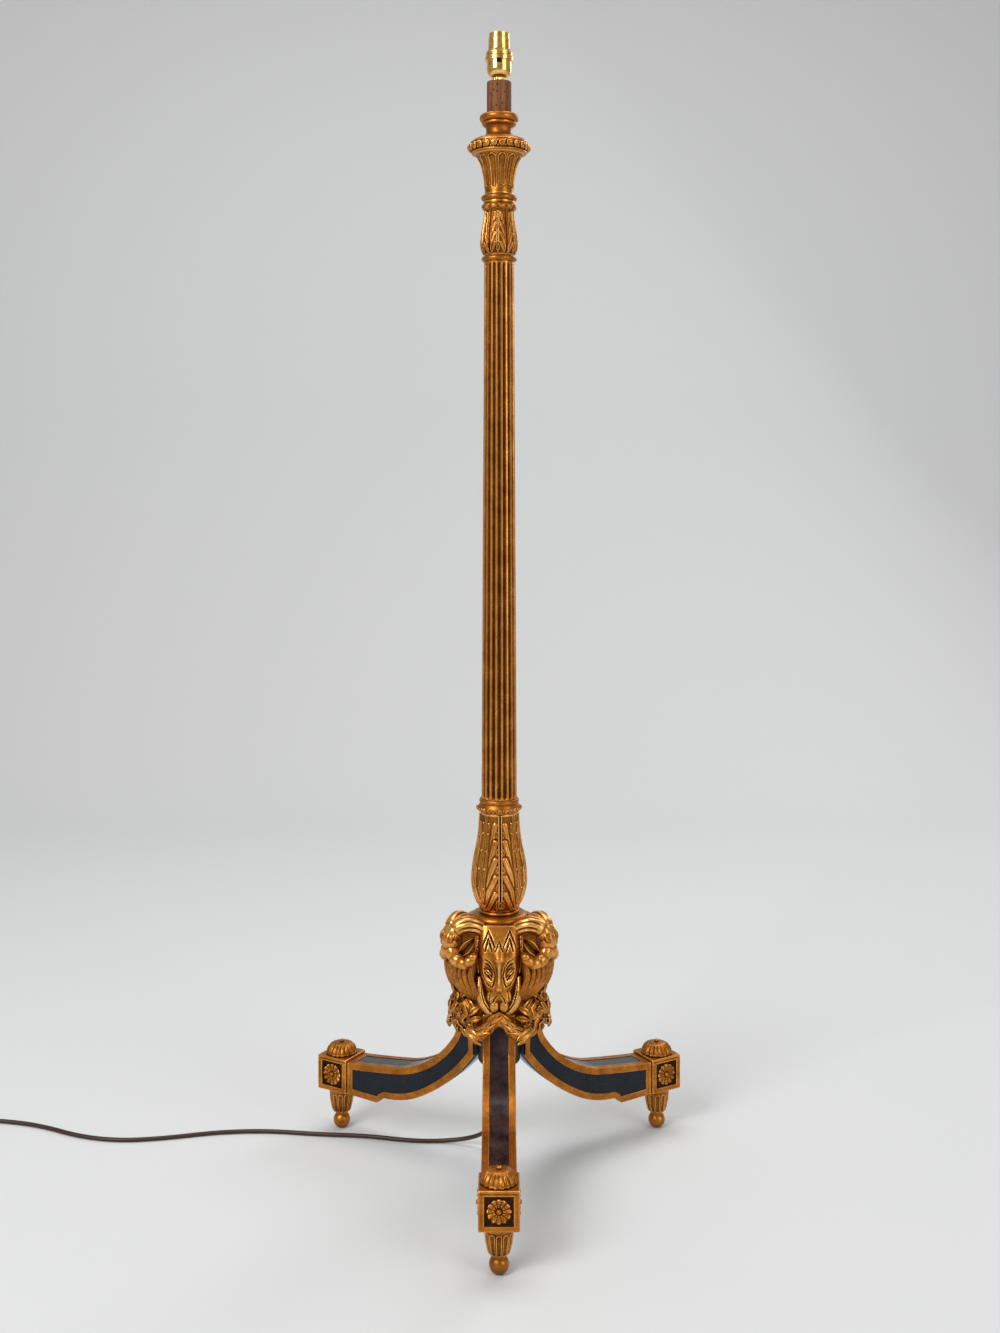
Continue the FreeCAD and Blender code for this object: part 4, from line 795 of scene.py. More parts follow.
            # the ring's turn follows the axis and which end of the edge is wood
            turn = low[tuple(edges.T)] ^ (axis == 1)
            quads.append(np.where(turn[:, None], ring, ring[:, ::-1]))
        quads = np.concatenate(quads)
        return points, quads[(quads >= 0).all(1)]


def smooth_line(points, count):
    """A smooth run of places through points of any width, by Catmull-Rom."""
    p = np.array(points, float)
    p = np.concatenate([[2 * p[0] - p[1]], p, [2 * p[-1] - p[-2]]])
    t = np.linspace(0, len(p) - 3 - 1e-9, count)
    i = t.astype(int)
    f = (t - i)[:, None]
    a, b, c, d = p[i], p[i + 1], p[i + 2], p[i + 3]
    return 0.5 * (2 * b + (c - a) * f + (2 * a - 5 * b + 4 * c - d) * f ** 2
                  + (3 * b - a - 3 * c + d) * f ** 3)


def swept(stations, along, columns, relief=None):
    """A closed tapering limb through (x, y, z, radius) stations. relief(share, angle, radius)
    is how far its carving stands out, mm."""
    line = smooth_line(stations, along)
    path, size = line[:, :3], line[:, 3]
    heading = np.gradient(path, axis=0)
    heading /= np.linalg.norm(heading, axis=1, keepdims=True)
    side = np.cross(heading[0], (0.0, 0.0, 1.0))
    sides = []
    for way in heading:
        side = side - way * side.dot(way)
        side /= np.linalg.norm(side)
        sides.append(side)
    side = np.array(sides)
    up = np.cross(side, heading)
    share = np.linspace(0, 1, along)[:, None]
    angle = around(columns)
    r = size[:, None] + 0 * angle
    if relief is not None:
        r = r + relief(share, angle, size[:, None])
    # both ends close like a thumb
    length = np.linalg.norm(np.diff(path, axis=0), axis=1).sum()
    from_end = np.minimum(share * length / size[0], (1 - share) * length / max(size[-1], 0.8))
    r = r * dome(1 - np.clip(from_end, 0.02, 1))
    points = path[:, None, :] + r[..., None] * (np.cos(angle)[..., None] * side[:, None, :]
                                                + np.sin(angle)[..., None] * up[:, None, :])
    return capped(points.reshape(-1, 3), along, columns)


def leaf_form(base, tip, face, width, cup=0.25, arch=2.0, thick=1.6, plump=0.9):
    """One carved leaf from base to tip, its face turned one way, with a cut midrib."""
    base, tip, face = (np.array(v, float) for v in (base, tip, face))
    way = tip - base
    length = np.linalg.norm(way)
    way /= length
    face = face - way * face.dot(way)
    face /= np.linalg.norm(face)
    side = np.cross(face, way)
    rows, half = 18, 7
    u = np.linspace(0, 1, rows)[:, None]
    v = np.linspace(-1, 1, 2 * half + 1)[None, :]
    wide = width / 2 * np.sin(math.pi * np.clip(0.06 + 0.94 * u, 0, 1) ** 0.85) ** plump + 0.15
    lift = arch * np.sin(math.pi * u) - cup * width * (v ** 2) * 0.5 + 0.45 * hill(np.abs(v), 0.72, 0.2)
    lift = lift - 0.9 * hill(v, 0, 0.18)
    body = thick * (1 - v ** 2) * np.sin(math.pi * np.clip(u * 0.96 + 0.02, 0, 1)) + 0.25
    top = base + way * (u * length)[..., None] + side * (wide * v)[..., None] + face * lift[..., None]
    under = top - face * (body + 0 * lift)[..., None]
    across = 2 * half + 1
    ring = np.concatenate([top, under[:, ::-1]], 1)
    return capped(ring.reshape(-1, 3), rows, 2 * across)


def local(azimuth, reach, z):
    """A place by its azimuth and its reach from the lamp's axis."""
    angle = math.radians(azimuth)
    return (reach * math.cos(angle), reach * math.sin(angle), z)


def ram_head():
    """A ram's face, +X outward: flat brow with tufts, keel of a nose, closed almond eyes, split lip."""
    clay = Clay((30, -36, 230), (76, 36, 353), 0.62)
    _, x, y, z = clay.window((-99, -99, -99), (999, 999, 999))
    level = (232, 237, 241, 248, 257, 266, 275, 285, 296, 306, 314, 324, 334, 350)
    wide = (3.0, 9.0, 12.5, 15.0, 16.5, 18.5, 22.5, 26.0, 27.6, 28.2, 28.4, 28.2, 27.4, 26.0)
    front = (44, 55.0, 59.5, 63.0, 65.6, 67.0, 67.4, 65.4, 63.8, 63.4, 63.0, 60.0, 55.6, 46.0)
    shoulder = (36, 42, 44, 46, 47, 47, 46, 45, 44, 43, 43, 41, 39, 36)
    w, f, s = (np.interp(z, level, v) for v in (wide, front, shoulder))
    square = np.interp(z, (288, 312), (1.4, 2.7))
    nose = np.hypot(np.maximum(x - s, 0) / (f - s), np.abs(y / w) ** square)
    clay.field = (nose - 1) * np.minimum(w, f - s)
    clay.field = np.maximum(clay.field, np.maximum(31 - x, z - HUB_TOP - 6.0 * (x > 39.5)) + 0 * y)
    # eye hollows each side of the keel, then the keel itself
    for side in (1, -1):
        clay.ball((69.0, 15.6 * side, 295), (10.4, 10.6, 14.5), 2.5, cut=True)
        clay.ball((68.5, 16.0 * side, 270), (6.0, 5.5, 9.0), 5.0, cut=True)
    clay.stroke([(54.5, 0, 318), (59.4, 0, 309), (62.2, 0, 296), (64.2, 0, 284), (64.6, 0, 272)],
                (8.5, 7.6, 3.6, 3.4, 4.6), 2.4)
    clay.stroke([(62.6, 0, 310), (65.2, 0, 297), (67.0, 0, 285), (66.2, 0, 276)], (3.6, 2.2, 2.0, 2.4), 1.0)
    for side in (1, -1):
        # brow shelf from the keel out to the temple, cheek leaf, lip and lappet
        clay.stroke([(60.6, 3.5 * side, 309.5), (59.4, 11 * side, 312), (55.0, 20 * side, 314)],
                    (3.0, 2.8, 2.4), 2.0)
        clay.ball((54.2, 15.4 * side, 290.0), (5.0, 7.4, 11.0), 1.4)
        clay.stroke([(56.8, 19.8 * side, 296.0), (59.2, 14.8 * side, 291.6), (60.0, 9.8 * side, 287.6)],
                    (1.6, 3.2, 1.5), 0.6)
        clay.ball((61.0, 6.4 * side, 247.0), (6.4, 6.8, 9.5), 2.0)
        clay.ball((59.5, 9.2 * side, 259.0), (6.4, 7.4, 9.0), 3.0)
        lappet = smooth_line([(51, 26.5 * side, 281), (55.5, 26.6 * side, 267), (58.5, 22.6 * side, 252),
                              (60.0, 14.0 * side, 240.0), (59.0, 4.0 * side, 235.0)], 12)
        clay.stroke(lappet, (3.2, 4.8, 5.6, 5.0, 3.4), 0.6)
        # temple strip, and the wall beside it
        clay.stroke([(40.5, 27.8 * side, 341), (44.5, 28.6 * side, 326), (46.5, 28.6 * side, 308),
                     (47, 27.6 * side, 288)], (1.9, 2.1, 2.1, 1.6), 0.7)
        clay.stroke([(37.0, 29.8 * side, 341), (38.5, 31.0 * side, 310), (38.5, 30.0 * side, 284)],
                    (2.6, 2.6, 2.2), 1.0)
    # cuts: the tool's radii, its lift, then the places (y, z) seen from the front
    for radii, lift, *places in (
            # eye slits, lids and the line round the cheek
            ((0.8, 1.25, 0.8), 0.2, (20.4, 297.0), (15.2, 292.6), (9.8, 286.4)),
            ((0.8, 1.15, 0.8), 0.2, (19.6, 291.4), (14.8, 287.4), (10.6, 282.6)),
            ((0.7, 1.1, 0.7), 0.2, (18.8, 303.4), (13.6, 300.6), (9.2, 294.5)),
            ((0.8, 1.2, 0.7), 0.1, (18.6, 309.6), (13.4, 306.6), (9.6, 301.0)),
            ((0.7, 0.95, 1.0, 0.95, 0.7), 0.1, (11.4, 304.5), (7.4, 297), (5.6, 288), (7.4, 278),
             (10.0, 273.6), (14.6, 275.6), (20.4, 283), (22.8, 291))):
        clay.draw(places, radii, lift)
    clay.draw([(0, 251), (0, 243), (0, 236.5)], (0.7, 1.5, 1.8), 0.0, both=False)
    for radii, *places in (
            # nostril and lip, then the rim and vein of the lappet's leaf
            ((0.7, 1.0, 0.7), (3.2, 262), (6.6, 258.0), (8.4, 252.4)),
            ((0.7, 1.0, 0.8), (11.8, 268), (13.6, 256), (12.6, 246)),
            ((0.7, 1.2, 0.8), (24.6, 277), (23.4, 264), (19.6, 251), (12.0, 240.5)),
            ((0.7, 1.0, 0.7), (29.6, 277), (30.4, 265), (27.0, 250), (18.0, 238))):
        clay.draw(places, radii, 0.0)
    # tufts on the brow: nested points
    for top, low, spread in ((344.0, 325.0, 8.8), (335.5, 320.0, 4.6)):
        for way in (spread, -spread):
            clay.draw([(14.4 - way, low), (14.4 - 0.45 * way, (top + low) / 2 + 1.0), (14.4, top)],
                      (0.9, 1.5, 1.0), 0.2, 0.4)
    clay.draw([(0.0, 333.0), (2.4, 326.0), (5.0, 320.0)], (0.8, 1.3, 0.8), 0.2, 0.4)
    for height in (333.0, 322.0, 311.0):
        clay.draw([(24.6, height), (29.5, height - 1.5)], (0.7, 0.7), 0.0)
    return clay.form()


def ram_horn():
    """A horn rising off the brow, over and down round the ear and in again, ridged as it grew."""
    stations = [(31, 41, 331, 7.0), (36, 46, 343.5, 10.2), (44, 56, 349.5, 11.8), (52, 66, 347.5, 11.6),
                (57, 73, 338.5, 10.8), (57.5, 76.5, 325.0, 9.8), (53, 77, 311.5, 9.0), (45.5, 76, 304.5, 8.5),
                (37.0, 74, 304.0, 7.8), (31.0, 71.5, 310.5, 6.8), (30.0, 70, 318.5, 5.4)]

    def ridges(share, angle, size):
        rings = np.abs(np.sin(share * 34.0 + 0.7 * np.sin(angle + 1.0))) ** 0.6
        flutes = np.abs(np.sin(angle * 4.5 + 2.5 * share)) ** 0.8
        base = 1 - eased(share, 0.24, 0.36)
        grown = eased(share, 0.26, 0.38)
        return 0.16 * size * (grown * (rings - 0.7) + base * (flutes - 0.7) * 0.8)

    return swept([local(*place) + (size,) for *place, size in stations], 260, 56, ridges)


def ear():
    """A hollowed leaf of an ear inside the horn's curl."""
    return leaf_form((59.5, 51.5, 316.5), (63.5, 31.5, 338.5), (1.0, 0.3, 0.12), 13.0, cup=-0.5, arch=1.0,
                     thick=3.4, plump=0.75)


def wool_fold():
    """Combed locks under the horn, sweeping down and in towards the jaw."""
    clay = Clay((24, 20, 244), (68, 66, 306), 0.95)
    base = smooth_line([local(44, 56, 303), local(46, 58, 284), local(44, 54, 264), local(38, 50, 249)], 8)
    clay.stroke(base, (12.0, 12.5, 11.0, 7.0), 2.0)
    for i in range(5):
        azimuth = 29.5 + 7.2 * i
        lock = smooth_line([local(azimuth + 1.0, 69.5, 304), local(azimuth + 2.6, 72.6, 290),
                            local(azimuth - 0.5, 70.0, 272), local(azimuth * 0.9 - 2.0, 62.5, 257),
                            local(azimuth * 0.8 - 1.0, 54.5, 248)], 12)
        clay.stroke(lock, (2.8, 4.0, 3.8, 3.0, 1.6), 0.3)
    return clay.form()


def rose(azimuth, reach, height, size, turn, out_azimuth, tilt):
    """A cabbage rose: one ribbon of petals wound outward, lapping in five. It looks out towards
    its own azimuth, tilted up or down."""
    rows, columns, full = 46, 84, 1.9
    polar = np.linspace(0.0, full, rows)[:, None]
    angle = around(columns)
    lap = 2.5 * polar / full - (angle + turn) / (2 * math.pi) + 0.10 * np.sin(5 * angle + turn)
    wave = lap % 1.0
    step = np.where(wave < 0.84, (wave / 0.84) ** 1.5, 1 - eased(wave, 0.84, 1.0))
    r = size * (0.74 + 0.34 * step) * (1 - 0.22 * hill(polar, 0, 0.34)) + 0.12 * size * hill(polar, 0, 0.13)
    out = np.array(local(out_azimuth, 1, tilt))
    out /= np.linalg.norm(out)
    side = np.cross(out, (0.0, 0.0, 1.0))
    side /= np.linalg.norm(side)
    up = np.cross(side, out)
    points = (np.cos(polar) * r)[..., None] * out * 0.82 + (np.sin(polar) * r)[..., None] * (
        np.cos(angle)[..., None] * side + np.sin(angle)[..., None] * up)
    return capped((np.array(local(azimuth, reach, height)) + points).reshape(-1, 3), rows, columns)


def rose_cluster():
    """Roses, buds and leaves on a corner of the hub, at azimuth 0."""
    forms = [rose(*place) for place in (
        (11.5, 64, 236, 12.6, 0.4, 16, 0.1), (-11.5, 64, 236, 12.6, 2.6, -16, 0.1),
        (0, 61, 212, 11.5, 1.3, 0, -0.35), (0, 68, 251, 7.6, 4.0, 0, 0.45),
        (19, 56, 220, 8.0, 3.0, 26, -0.2), (-19, 56, 220, 8.0, 5.0, -26, -0.2))]
    leaves = [((14, 62, 250), (30, 60, 236), 9.5), ((9, 68, 254), (21, 57, 268), 8.5),
              ((4, 62, 256), (10, 60, 273), 7.5), ((20, 66, 232), (34, 57, 243), 9.0),
              ((22, 63, 224), (37, 55, 228), 8.5), ((16, 62, 216), (26, 52, 205), 9.0),
              ((8, 64, 208), (15, 55, 196), 9.0), ((4, 60, 206), (3, 52, 194), 8.0),
              ((7, 72, 247), (2, 76, 232), 8.0)]
    for side in (1, -1):
        for (foot, *foot_at), (tip, *tip_at), width in leaves:
            forms.append(leaf_form(local(foot * side, *foot_at), local(tip * side, *tip_at),
                                   local((foot + tip) / 2 * side, 1.0, 0.15), width, arch=2.4))
    return joined(forms + [swept([(44, 0, 252, 9.0), (50, 0, 232, 12.0), (46, 0, 212, 9.0)], 24, 28)])


def swag():
    """Half a garland: long laurel leaves lapping up towards the chin."""
    path = smooth_line([(61.5, 1.6, 231.5), (62.0, 9.0, 226.0), (61.0, 18.0, 213.5), (58.0, 27.5, 205.5),
                        (54.0, 37.0, 206.5), (50.5, 46.0, 215.0)], 60)
    forms = [swept([(*p, 4.2) for p in path[4:58:6]], 40, 24)]
    for k, at in enumerate((56, 44, 32, 20)):
        here = path[at]
        ahead = path[max(at - 20, 0)] if at > 20 else path[0] + (path[0] - path[6]) * 0.1
        way = ahead - here
        way /= np.linalg.norm(way)
        out = np.array((here[0], here[1] * 0.9, 0.0)) / math.hypot(here[0], here[1] * 0.9)
        across = np.cross(way, out)
        for lane in (-0.8, 0.6):
            swing = lane + 0.2 * (1 if k % 2 else -1)
            foot = here + across * 4.6 * swing + out * 3.0
            end = here + way * 30.0 + across * 5.4 * swing + out * 8.5
            forms.append(leaf_form(foot, end, out + across * 0.5 * swing, 11.0, cup=0.4, arch=2.6, thick=3.2))
    return joined(forms)


def add_carvings():
    """Heads, horns, ears, wool and garlands on the three legs, roses on the corners."""
    for name, form, stands_for in (("ram_face_", ram_head(), "ram_head_"),
                                   ("ram_horns_grown_", with_mirror(ram_horn()), "ram_horns_"),
                                   ("laurel_swag_", with_mirror(swag()), "swag_")):
        shade = proudness(*form, 3.0, 0.5)
        for leg, azimuth in LEGS.items():
            add_piece(name + leg, facing(form, azimuth), [stands_for + leg], proud=shade)
    # the ears' wide reach paints their hollow cups darker as shade; the wool's added tone lifts it to offset
    # the painted occlusion shade
    for name, form, stands_for, reach, full, wear_and_painted_shade in (
            ("ears_carved", ear(), "ram_ears", 5.0, 0.35, 0.0),
            ("neck_wool_carved", wool_fold(), "neck_wool", 2.4, 0.42, 0.45)):
        pair = with_mirror(form)
        shade = np.clip(np.tile(proudness(*pair, reach, full), 3) + wear_and_painted_shade, -1, 1)
        add_piece(name, on_legs(pair), [stands_for], proud=shade)
    stations = ((55.0, 72, 341, 5.6), (54.5, 80.5, 335.5, 6.8), (54.0, 83.5, 327.0, 4.6))
    knob = swept([local(*place) + (size,) for *place, size in stations], 30, 32,
                 lambda share, angle, size: 0.5 * np.sin(angle * 5) * size / 6)
    add_piece("horn_knobs_carved", on_legs(with_mirror(knob)), reach=1.2, full=0.4)
    cluster = rose_cluster()
    shade = proudness(*cluster, 2.2, 0.75)
    for corner, azimuth in CORNERS.items():
        add_piece("rose_cluster_" + corner, facing(cluster, azimuth), ["roses_" + corner], proud=shade)


# ---------------------------------------------------------------- legs and feet
LEG_OVER = [(47.5, 230.0), (60.1, 180.6, 52.0, 205.0), (150.0, 117.0, 97.0, 141.0),
            (243.0, 106.5, 190.0, 111.8)]
LEG_UNDER = [(29.2, 230.0), (29.2, 157.4), (117.6, 82.5, 66.0, 117.3), (176.7, 68.2, 146.0, 72.0),
             (190.6, 59.2, 184.5, 64.6), (243.0, 60.8)]
# places on the two edges that face each other across the leg
LEG_PAIRS = [((47.5, 230.0), (29.2, 230.0)), ((60.1, 180.6), (29.2, 157.4)),
             ((97.0, 141.0), (74.0, 111.0)), ((150.0, 117.0), (131.0, 77.0)),
             ((178.0, 113.2), (176.7, 68.2)), ((190.0, 111.8), (190.6, 59.2)),
             ((243.0, 106.5), (243.0, 60.8))]
LEG_HALF = 22.0
LEG_BORDER = 9.5
PANEL_SINK = 2.0
PANEL_T = 1.2
PANEL_END = 5.82       # where the panels stop, counted in pairs
SQUARE_HALF = 17.7     # the sunk squares of the blocks
SQUARE_SINK = 2.0


def leg_stations(shares):
    """The upper and lower edge of the leg at places counted in pairs, and the leg's depth there."""
    edges = []
    for k, outline in enumerate((LEG_OVER, LEG_UNDER)):
        edge = outline_points(outline, 0.5)
        marks = [np.linalg.norm(edge - np.array(pair[k]), axis=1).argmin() for pair in LEG_PAIRS]
        place = np.interp(shares, range(len(marks)), marks)
        edges.append(np.stack([np.interp(place, range(len(edge)), edge[:, i]) for i in (0, 1)], 1))
    return edges[0], edges[1], np.linalg.norm(edges[1] - edges[0], axis=1, keepdims=True)


def along_leg(shares, ring):
    """A form along the leg; ring(depth) gives its section as (down, across) pairs."""
    over, under, depth = leg_stations(shares)
    down, across = (np.stack(np.broadcast_arrays(depth, *v)[1:], -1)[:, 0] for v in zip(*ring(depth)))
    points = over[:, None, :] + (under - over)[:, None, :] * (down / depth)[..., None]
    points = np.stack([points[..., 0], across, points[..., 1]], -1)
    return capped(points.reshape(-1, 3), len(shares), down.shape[1])


def leg_frame():
    """The gilt leg with its arrises rubbed round and the beds for the panels cut in."""
    shares = np.sort(np.concatenate([np.linspace(0, 6, 181), [PANEL_END - 0.004, PANEL_END + 0.004]]))
    bed = np.where(shares < PANEL_END, 1.0, 0.0)[:, None]
    sink = PANEL_SINK * bed
    h, b, top = LEG_HALF, LEG_BORDER, LEG_HALF - LEG_BORDER

    def ring(depth):
        side = [(sink, top - 0.02), (0.4 * bed, top), (0, top + 0.4), (0, top + 1.0), (0, h - 1.6),
                (0, h - 0.8), (0.24, h - 0.24), (0.8, h), (1.6, h), (b - 1.0, h), (b - 0.4, h),
                (b, h - 0.4 * bed), (b + 0.02, h - sink)]
        half = side + [(depth - d, y) for d, y in side[:0:-1]]
        return half + [(d, -y) for d, y in half[::-1]]

    return along_leg(shares, ring)


def leg_panel(kind):
    """A lacquered panel lying in its bed: the top one, a side one, or the blue-grey strip underneath, lighter
    as a painted reflection of the floor.
    """
    low, high = PANEL_SINK - PANEL_T, PANEL_SINK - 0.01
    top, b, h = LEG_HALF - LEG_BORDER - 0.03, LEG_BORDER + 0.03, LEG_HALF
    rings = {
        "top": lambda depth: [(low, -top), (low, -top + 0.5), (low, top - 0.5), (low, top), (high, top),
                              (high, -top)],
        "side": lambda depth: [(b, h - low), (b + 0.47, h - low), (depth - b - 0.47, h - low),
                               (depth - b, h - low), (depth - b, h - high), (b, h - high)],
        "under": lambda depth: [(depth + 0.25, 4.0 - h), (depth + 0.25, h - 4.0), (depth - 0.6, h - 4.0),
                                (depth - 0.6, 4.0 - h)],
    }
    return along_leg(np.linspace(0.02, PANEL_END - 0.01, 150), rings[kind])


def rosette():
    """Twelve petals with bead tips round a nail, lying on the plane x = 0."""
    reach, nail = 15.3, 3.3
    share = np.linspace(0.02, 1, 36)[:, None]
    angle = around(144)
    petal = np.abs(np.cos(6 * angle))
    r = reach * share * (0.84 + 0.16 * petal ** 0.6)
    height = 0.7 + 2.0 * petal ** 0.7 * (1 - 0.5 * hill(share, 0.56, 0.07)) * (1 - 0.25 * share)
    from_bead = ((share - 0.86) * reach) ** 2 + (1.2 * np.sin(6 * angle)) ** 2 * 6
    height = height + 1.1 * np.exp(-from_bead / 2.2)
    height = height - 1.3 * hill(share, 0.27, 0.05)
    height = np.where(r < nail, 1.6 + np.sqrt(np.clip(nail ** 2 - r ** 2, 0, 99)), height)
    height = height * (1 - eased(share, 0.965, 1.0))
    points = np.stack([height, r * np.cos(angle), r * np.sin(angle)], -1)
    return capped(points.reshape(-1, 3), *r.shape)


def foot_block():
    """The square block at azimuth 0, its three open faces sunk, a plate line under the top."""
    clay = Clay((240, -28, 58), (296, 28, 113), 0.8)
    cuts, x, y, z = clay.window((0, -99, 0), (999, 99, 999))

    def box(cx, hx, hy, hz, round_mm):
        gaps = np.broadcast_arrays(*(np.abs(v) - h + round_mm
                                     for v, h in ((x - cx, hx), (y, hy), (z - BLOCK_MID, hz))))
        outside = np.sqrt(sum(np.maximum(g, 0) ** 2 for g in gaps))
        return outside + np.minimum(np.maximum(np.maximum(gaps[0], gaps[1]), gaps[2]), 0) - round_mm

    clay.field = box(FOOT_REACH, BLOCK_HALF, BLOCK_HALF, 24.5, 1.1)
    clay.work(cuts, box(FOOT_REACH + BLOCK_HALF, SQUARE_SINK, SQUARE_HALF, SQUARE_HALF, 0.3), 0.5, cut=True)
    clay.work(cuts, np.maximum(box(FOOT_REACH, SQUARE_HALF, 99.0, SQUARE_HALF, 0.3),
                               BLOCK_HALF - SQUARE_SINK - np.abs(y)), 0.5, cut=True)
    for ends in (((1, -1), (1, 1)), ((1, 1), (-1, 1)), ((1, -1), (-1, -1))):
        clay.stroke([(FOOT_REACH + a * BLOCK_HALF, b * BLOCK_HALF, 106.2) for a, b in ends],
                    0.75, 0.3, cut=True)
    return clay.form()


def gadrooned_cap():
    """A low dome of eighteen lobes with a scalloped foot, under a button."""
    outline = raised(BLOCK_HIGH, [(20.0, 0), (22.4, 0.4), (22.8, 2.4), (21.6, 3.2), (2.8, 15.4, 17.4, 10.8),
                                  (2.2, 16.0), (0.7, 18.6, 3.1, 17.4)])

    def lobes(cut):
        lobe = 1.5 * dome(cut.half) - 1.3 + 0.5 * hill(cut.half, 0, 0.18)
        scallop = (0.5 * np.cos(cut.half * math.pi) - 0.3) * (1 - eased(cut.v, 2.0, 3.0))
        scallop *= cut.radius > 20.5
        return lobe * within(cut.v, 2.4, 4.2, 13.2, 14.6) * np.clip(cut.radius / 12.0, 0.3, 1.0) + scallop

    points, quads = turned(outline, 288, 0.5, lobes, 18)
    return points + (FOOT_REACH, 0, 0), quads


def toupie():
    """The ball and the fluted peg of a foot, turned in one."""
    outline = [(0.8, 0.0), (3.8, 0.0), (8.9, 19.8, 12.1, 12.6), (8.9, 23.6), (12.2, 25.0),
               (17.2, 54.4, 16.2, 42.0), (18.9, 56.0), (18.9, BLOCK_LOW), (6.0, BLOCK_LOW)]

    def flutes(cut):
        q = cut.hollow(27.0, 49.0, 0.84)
        height = 0.9 * hill(q, 0.88, 0.14) - 1.7 * dome(q / 0.74) - 0.6 * hill(cut.half, 1, 0.14)
        return height * within(cut.v, 25.2, 26.4, 53.6, 54.6)

    points, quads = turned(outline, 168, 0.65, flutes, 12)
    return points + (FOOT_REACH, 0, 0), quads


def add_legs():
    """Each leg with its panels and its block, then the caps, rosettes and feet."""
    block, flower = foot_block(), rosette()
    flower = flower[0] + (BLOCK_HALF - SQUARE_SINK, 0, 0), flower[1]
    on_faces = joined([facing(flower, azimuth) for azimuth in (0, 90, -90)])
    # the sunk squares are painted darker: painted shade
    x, y, z = np.abs(block[0] - (FOOT_REACH, 0, BLOCK_MID)).T
    sunk_painted_shade = (z < 17.2) & (((x < 23.6) & (x > 22.2) & (y < 17.2)) | ((y < 23.6) & (y > 22.2) & (x < 17.2)))
    shade = np.clip(proudness(*block, 2.4, 0.6) - 0.75 * sunk_painted_shade, -1, 1)
    gilt_frame = leg_frame()
    panels = {"top": leg_panel("top"), "sides": with_mirror(leg_panel("side")),
              "underside": leg_panel("under")}
    for leg, azimuth in LEGS.items():
        add_piece("leg_gilt_" + leg, facing(gilt_frame, azimuth), ["leg_" + leg], reach=1.6)
        # the underside gets the lighter blue-grey, a painted reflection of the floor
        paints = {"top": plum_lacquer if leg == "front" else teal_lacquer, "sides": blue_black_lacquer,
                  "underside": floor_reflection_lacquer}
        for kind, form in panels.items():
            add_piece("leg_lacquer_%s_%s" % (kind, leg), facing(form, azimuth),
                      ["leg_panels_" + leg] if kind == "sides" else (), paints[kind])
        add_piece("foot_block_framed_" + leg, facing(block, azimuth), ["foot_block_" + leg], proud=shade)
    for name, form, stands_for in (
            ("gadrooned_caps", gadrooned_cap(), "foot_caps"),
            ("rosettes_carved", (on_faces[0] + (FOOT_REACH, 0, BLOCK_MID), on_faces[1]), "foot_rosettes"),
            ("fluted_toupie_feet", toupie(), "turned_feet")):
        add_piece(name, on_legs(form), [stands_for], proud=np.tile(proudness(*form, 1.8, 0.8), 3))


# ---------------------------------------------------------------- cord
# the CAD route in metres, from the bush down to the floor, out to the left and into the coil
CORD_ROUTE = [
    (0.0, 0.0, 0.127), (0.0, 0.0, 0.102), (-0.003, 0.012, 0.072), (-0.012, 0.038, 0.040),
    (-0.032, 0.068, 0.014), (-0.072, 0.080, 0.003), (-0.124, 0.079, 0.003), (-0.190, 0.096, 0.003),
    (-0.262, 0.101, 0.003), (-0.338, 0.113, 0.003), (-0.412, 0.108, 0.003), (-0.480, 0.089, 0.003),
    (-0.545, 0.080, 0.003), (-0.608, 0.094, 0.003), (-0.672, 0.129, 0.003), (-0.738, 0.147, 0.003),
]
COIL_CENTRE = (-0.790, 0.1053)
COIL_START_R = 0.0417
COIL_PITCH = 0.0066
COIL_TURNS = 5.25
COIL_LEAD = 0.046
FLEX_R = 0.003


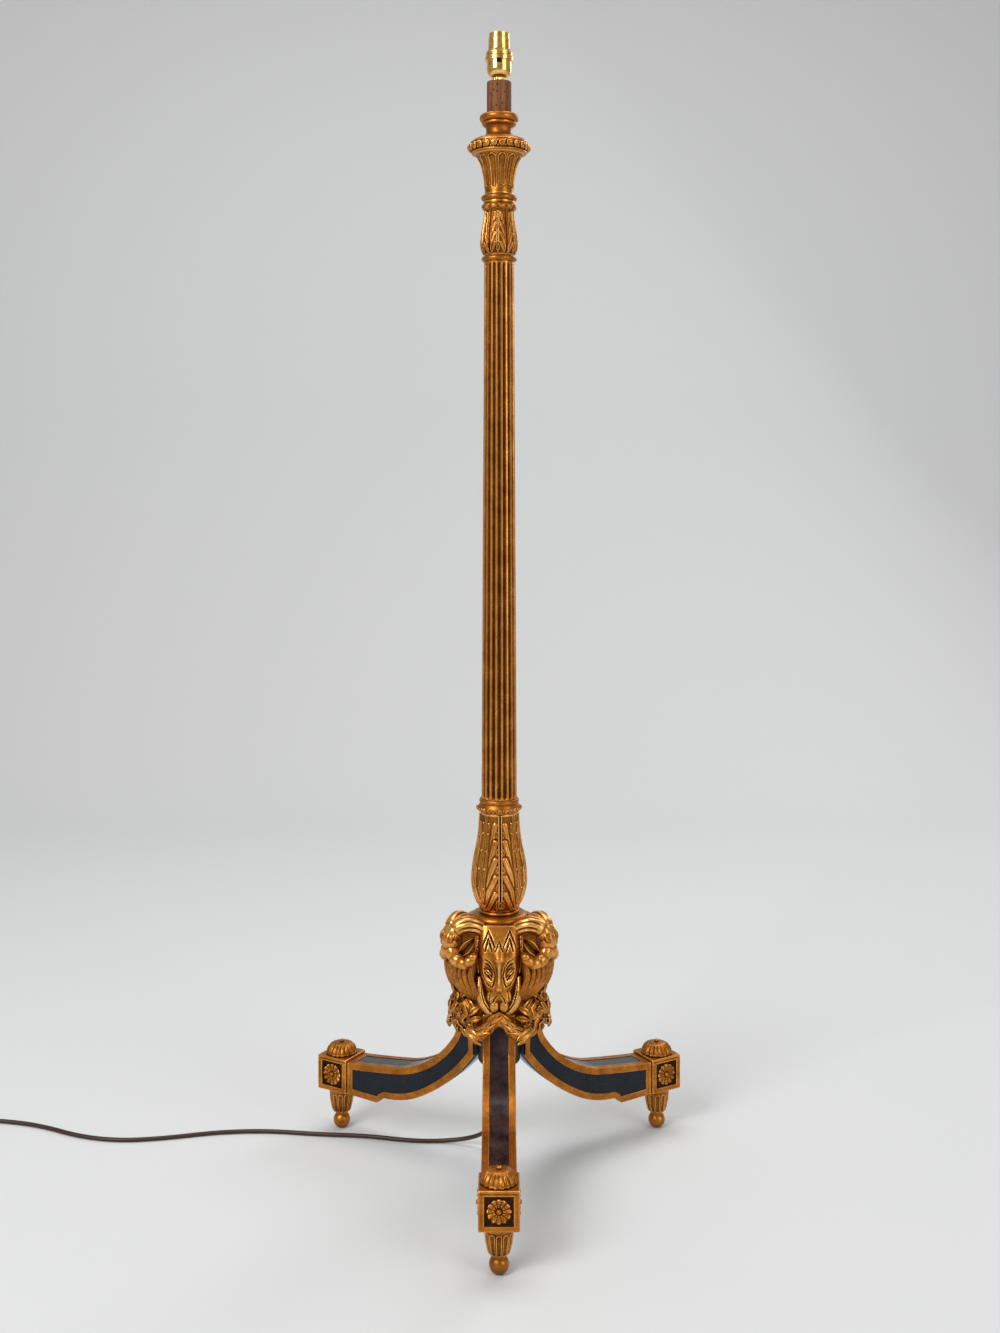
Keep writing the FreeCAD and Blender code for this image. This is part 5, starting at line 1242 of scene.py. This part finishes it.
def coil_points():
    """In on the lower layer, out on the upper, then straight to the plug."""
    points = []
    steps_a_turn = 16
    half = COIL_TURNS / 2
    for i in range(int(COIL_TURNS * steps_a_turn) + 1):
        turns = i / steps_a_turn
        gap = abs(turns - half)
        inward = half - (gap if gap > 0.25 else (gap * gap / 0.25 + 0.25) / 2)
        radius = COIL_START_R - COIL_PITCH * inward
        climb = min(max((turns - half + 0.25) / 0.5, 0.0), 1.0)
        climb = climb * climb * (3 - 2 * climb)
        angle = math.pi / 2 + turns * 2 * math.pi
        points.append((COIL_CENTRE[0] + radius * math.cos(angle), COIL_CENTRE[1] + radius * math.sin(angle),
                       FLEX_R + COIL_PITCH * climb))
    x, y, z = points[-1]
    return points + [(x, y - COIL_LEAD * share, z) for share in (0.3, 0.65, 1.0)]


def add_cord():
    """One flex in one piece from the bush to the plug, with the coil that puts away its length."""
    curve = bpy.data.curves.new("mains_flex", "CURVE")
    curve.dimensions = "3D"
    curve.bevel_depth = FLEX_R
    curve.bevel_resolution = 4
    curve.resolution_u = 8
    curve.use_fill_caps = True
    route = CORD_ROUTE + coil_points()
    spline = curve.splines.new("NURBS")
    spline.points.add(len(route) - 1)
    for point, place in zip(spline.points, route):
        point.co = (*place, 1.0)
    spline.order_u = 3
    spline.use_endpoint_u = True
    curve.materials.append(brown_flex)
    flex = placed("mains_flex", curve)
    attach(flex, "lamp")
    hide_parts("cord_free", "cord_coil")


# ---------------------------------------------------------------- finishes of the CAD's own pieces
def finish_nodes():
    """A real surface on each CAD piece, by its slot."""
    finishes = {
        "giltwood": gilt_wood, "ebonised_panel": blue_black_lacquer, "dark_wood": ebonised_beech,
        "bare_wood": bare_walnut, "dowel_wood": plain_beech, "polished_brass": polished_brass,
        "contact_brass": satin_brass, "black_phenolic": black_phenolic, "spring_steel": spring_steel,
        "cord_sheath": brown_flex, "bush_rubber": bush_rubber, "plug_shell": black_urea,
        "fuse_ceramic": glazed_ceramic,
    }
    for subpart in frame["record"]["subparts"]:
        mesh = frame["nodes"][subpart["node"]].data
        mesh.materials.clear()
        mesh.materials.append(finishes[subpart["material_slot"]])


finish_nodes()
add_camera()
add_stage()
add_light()
add_cord()
add_baluster()
add_collar()
add_column()
add_knop()
add_cup()
add_capital()
add_spigot()
add_carvings()
add_base_ring()
add_legs()
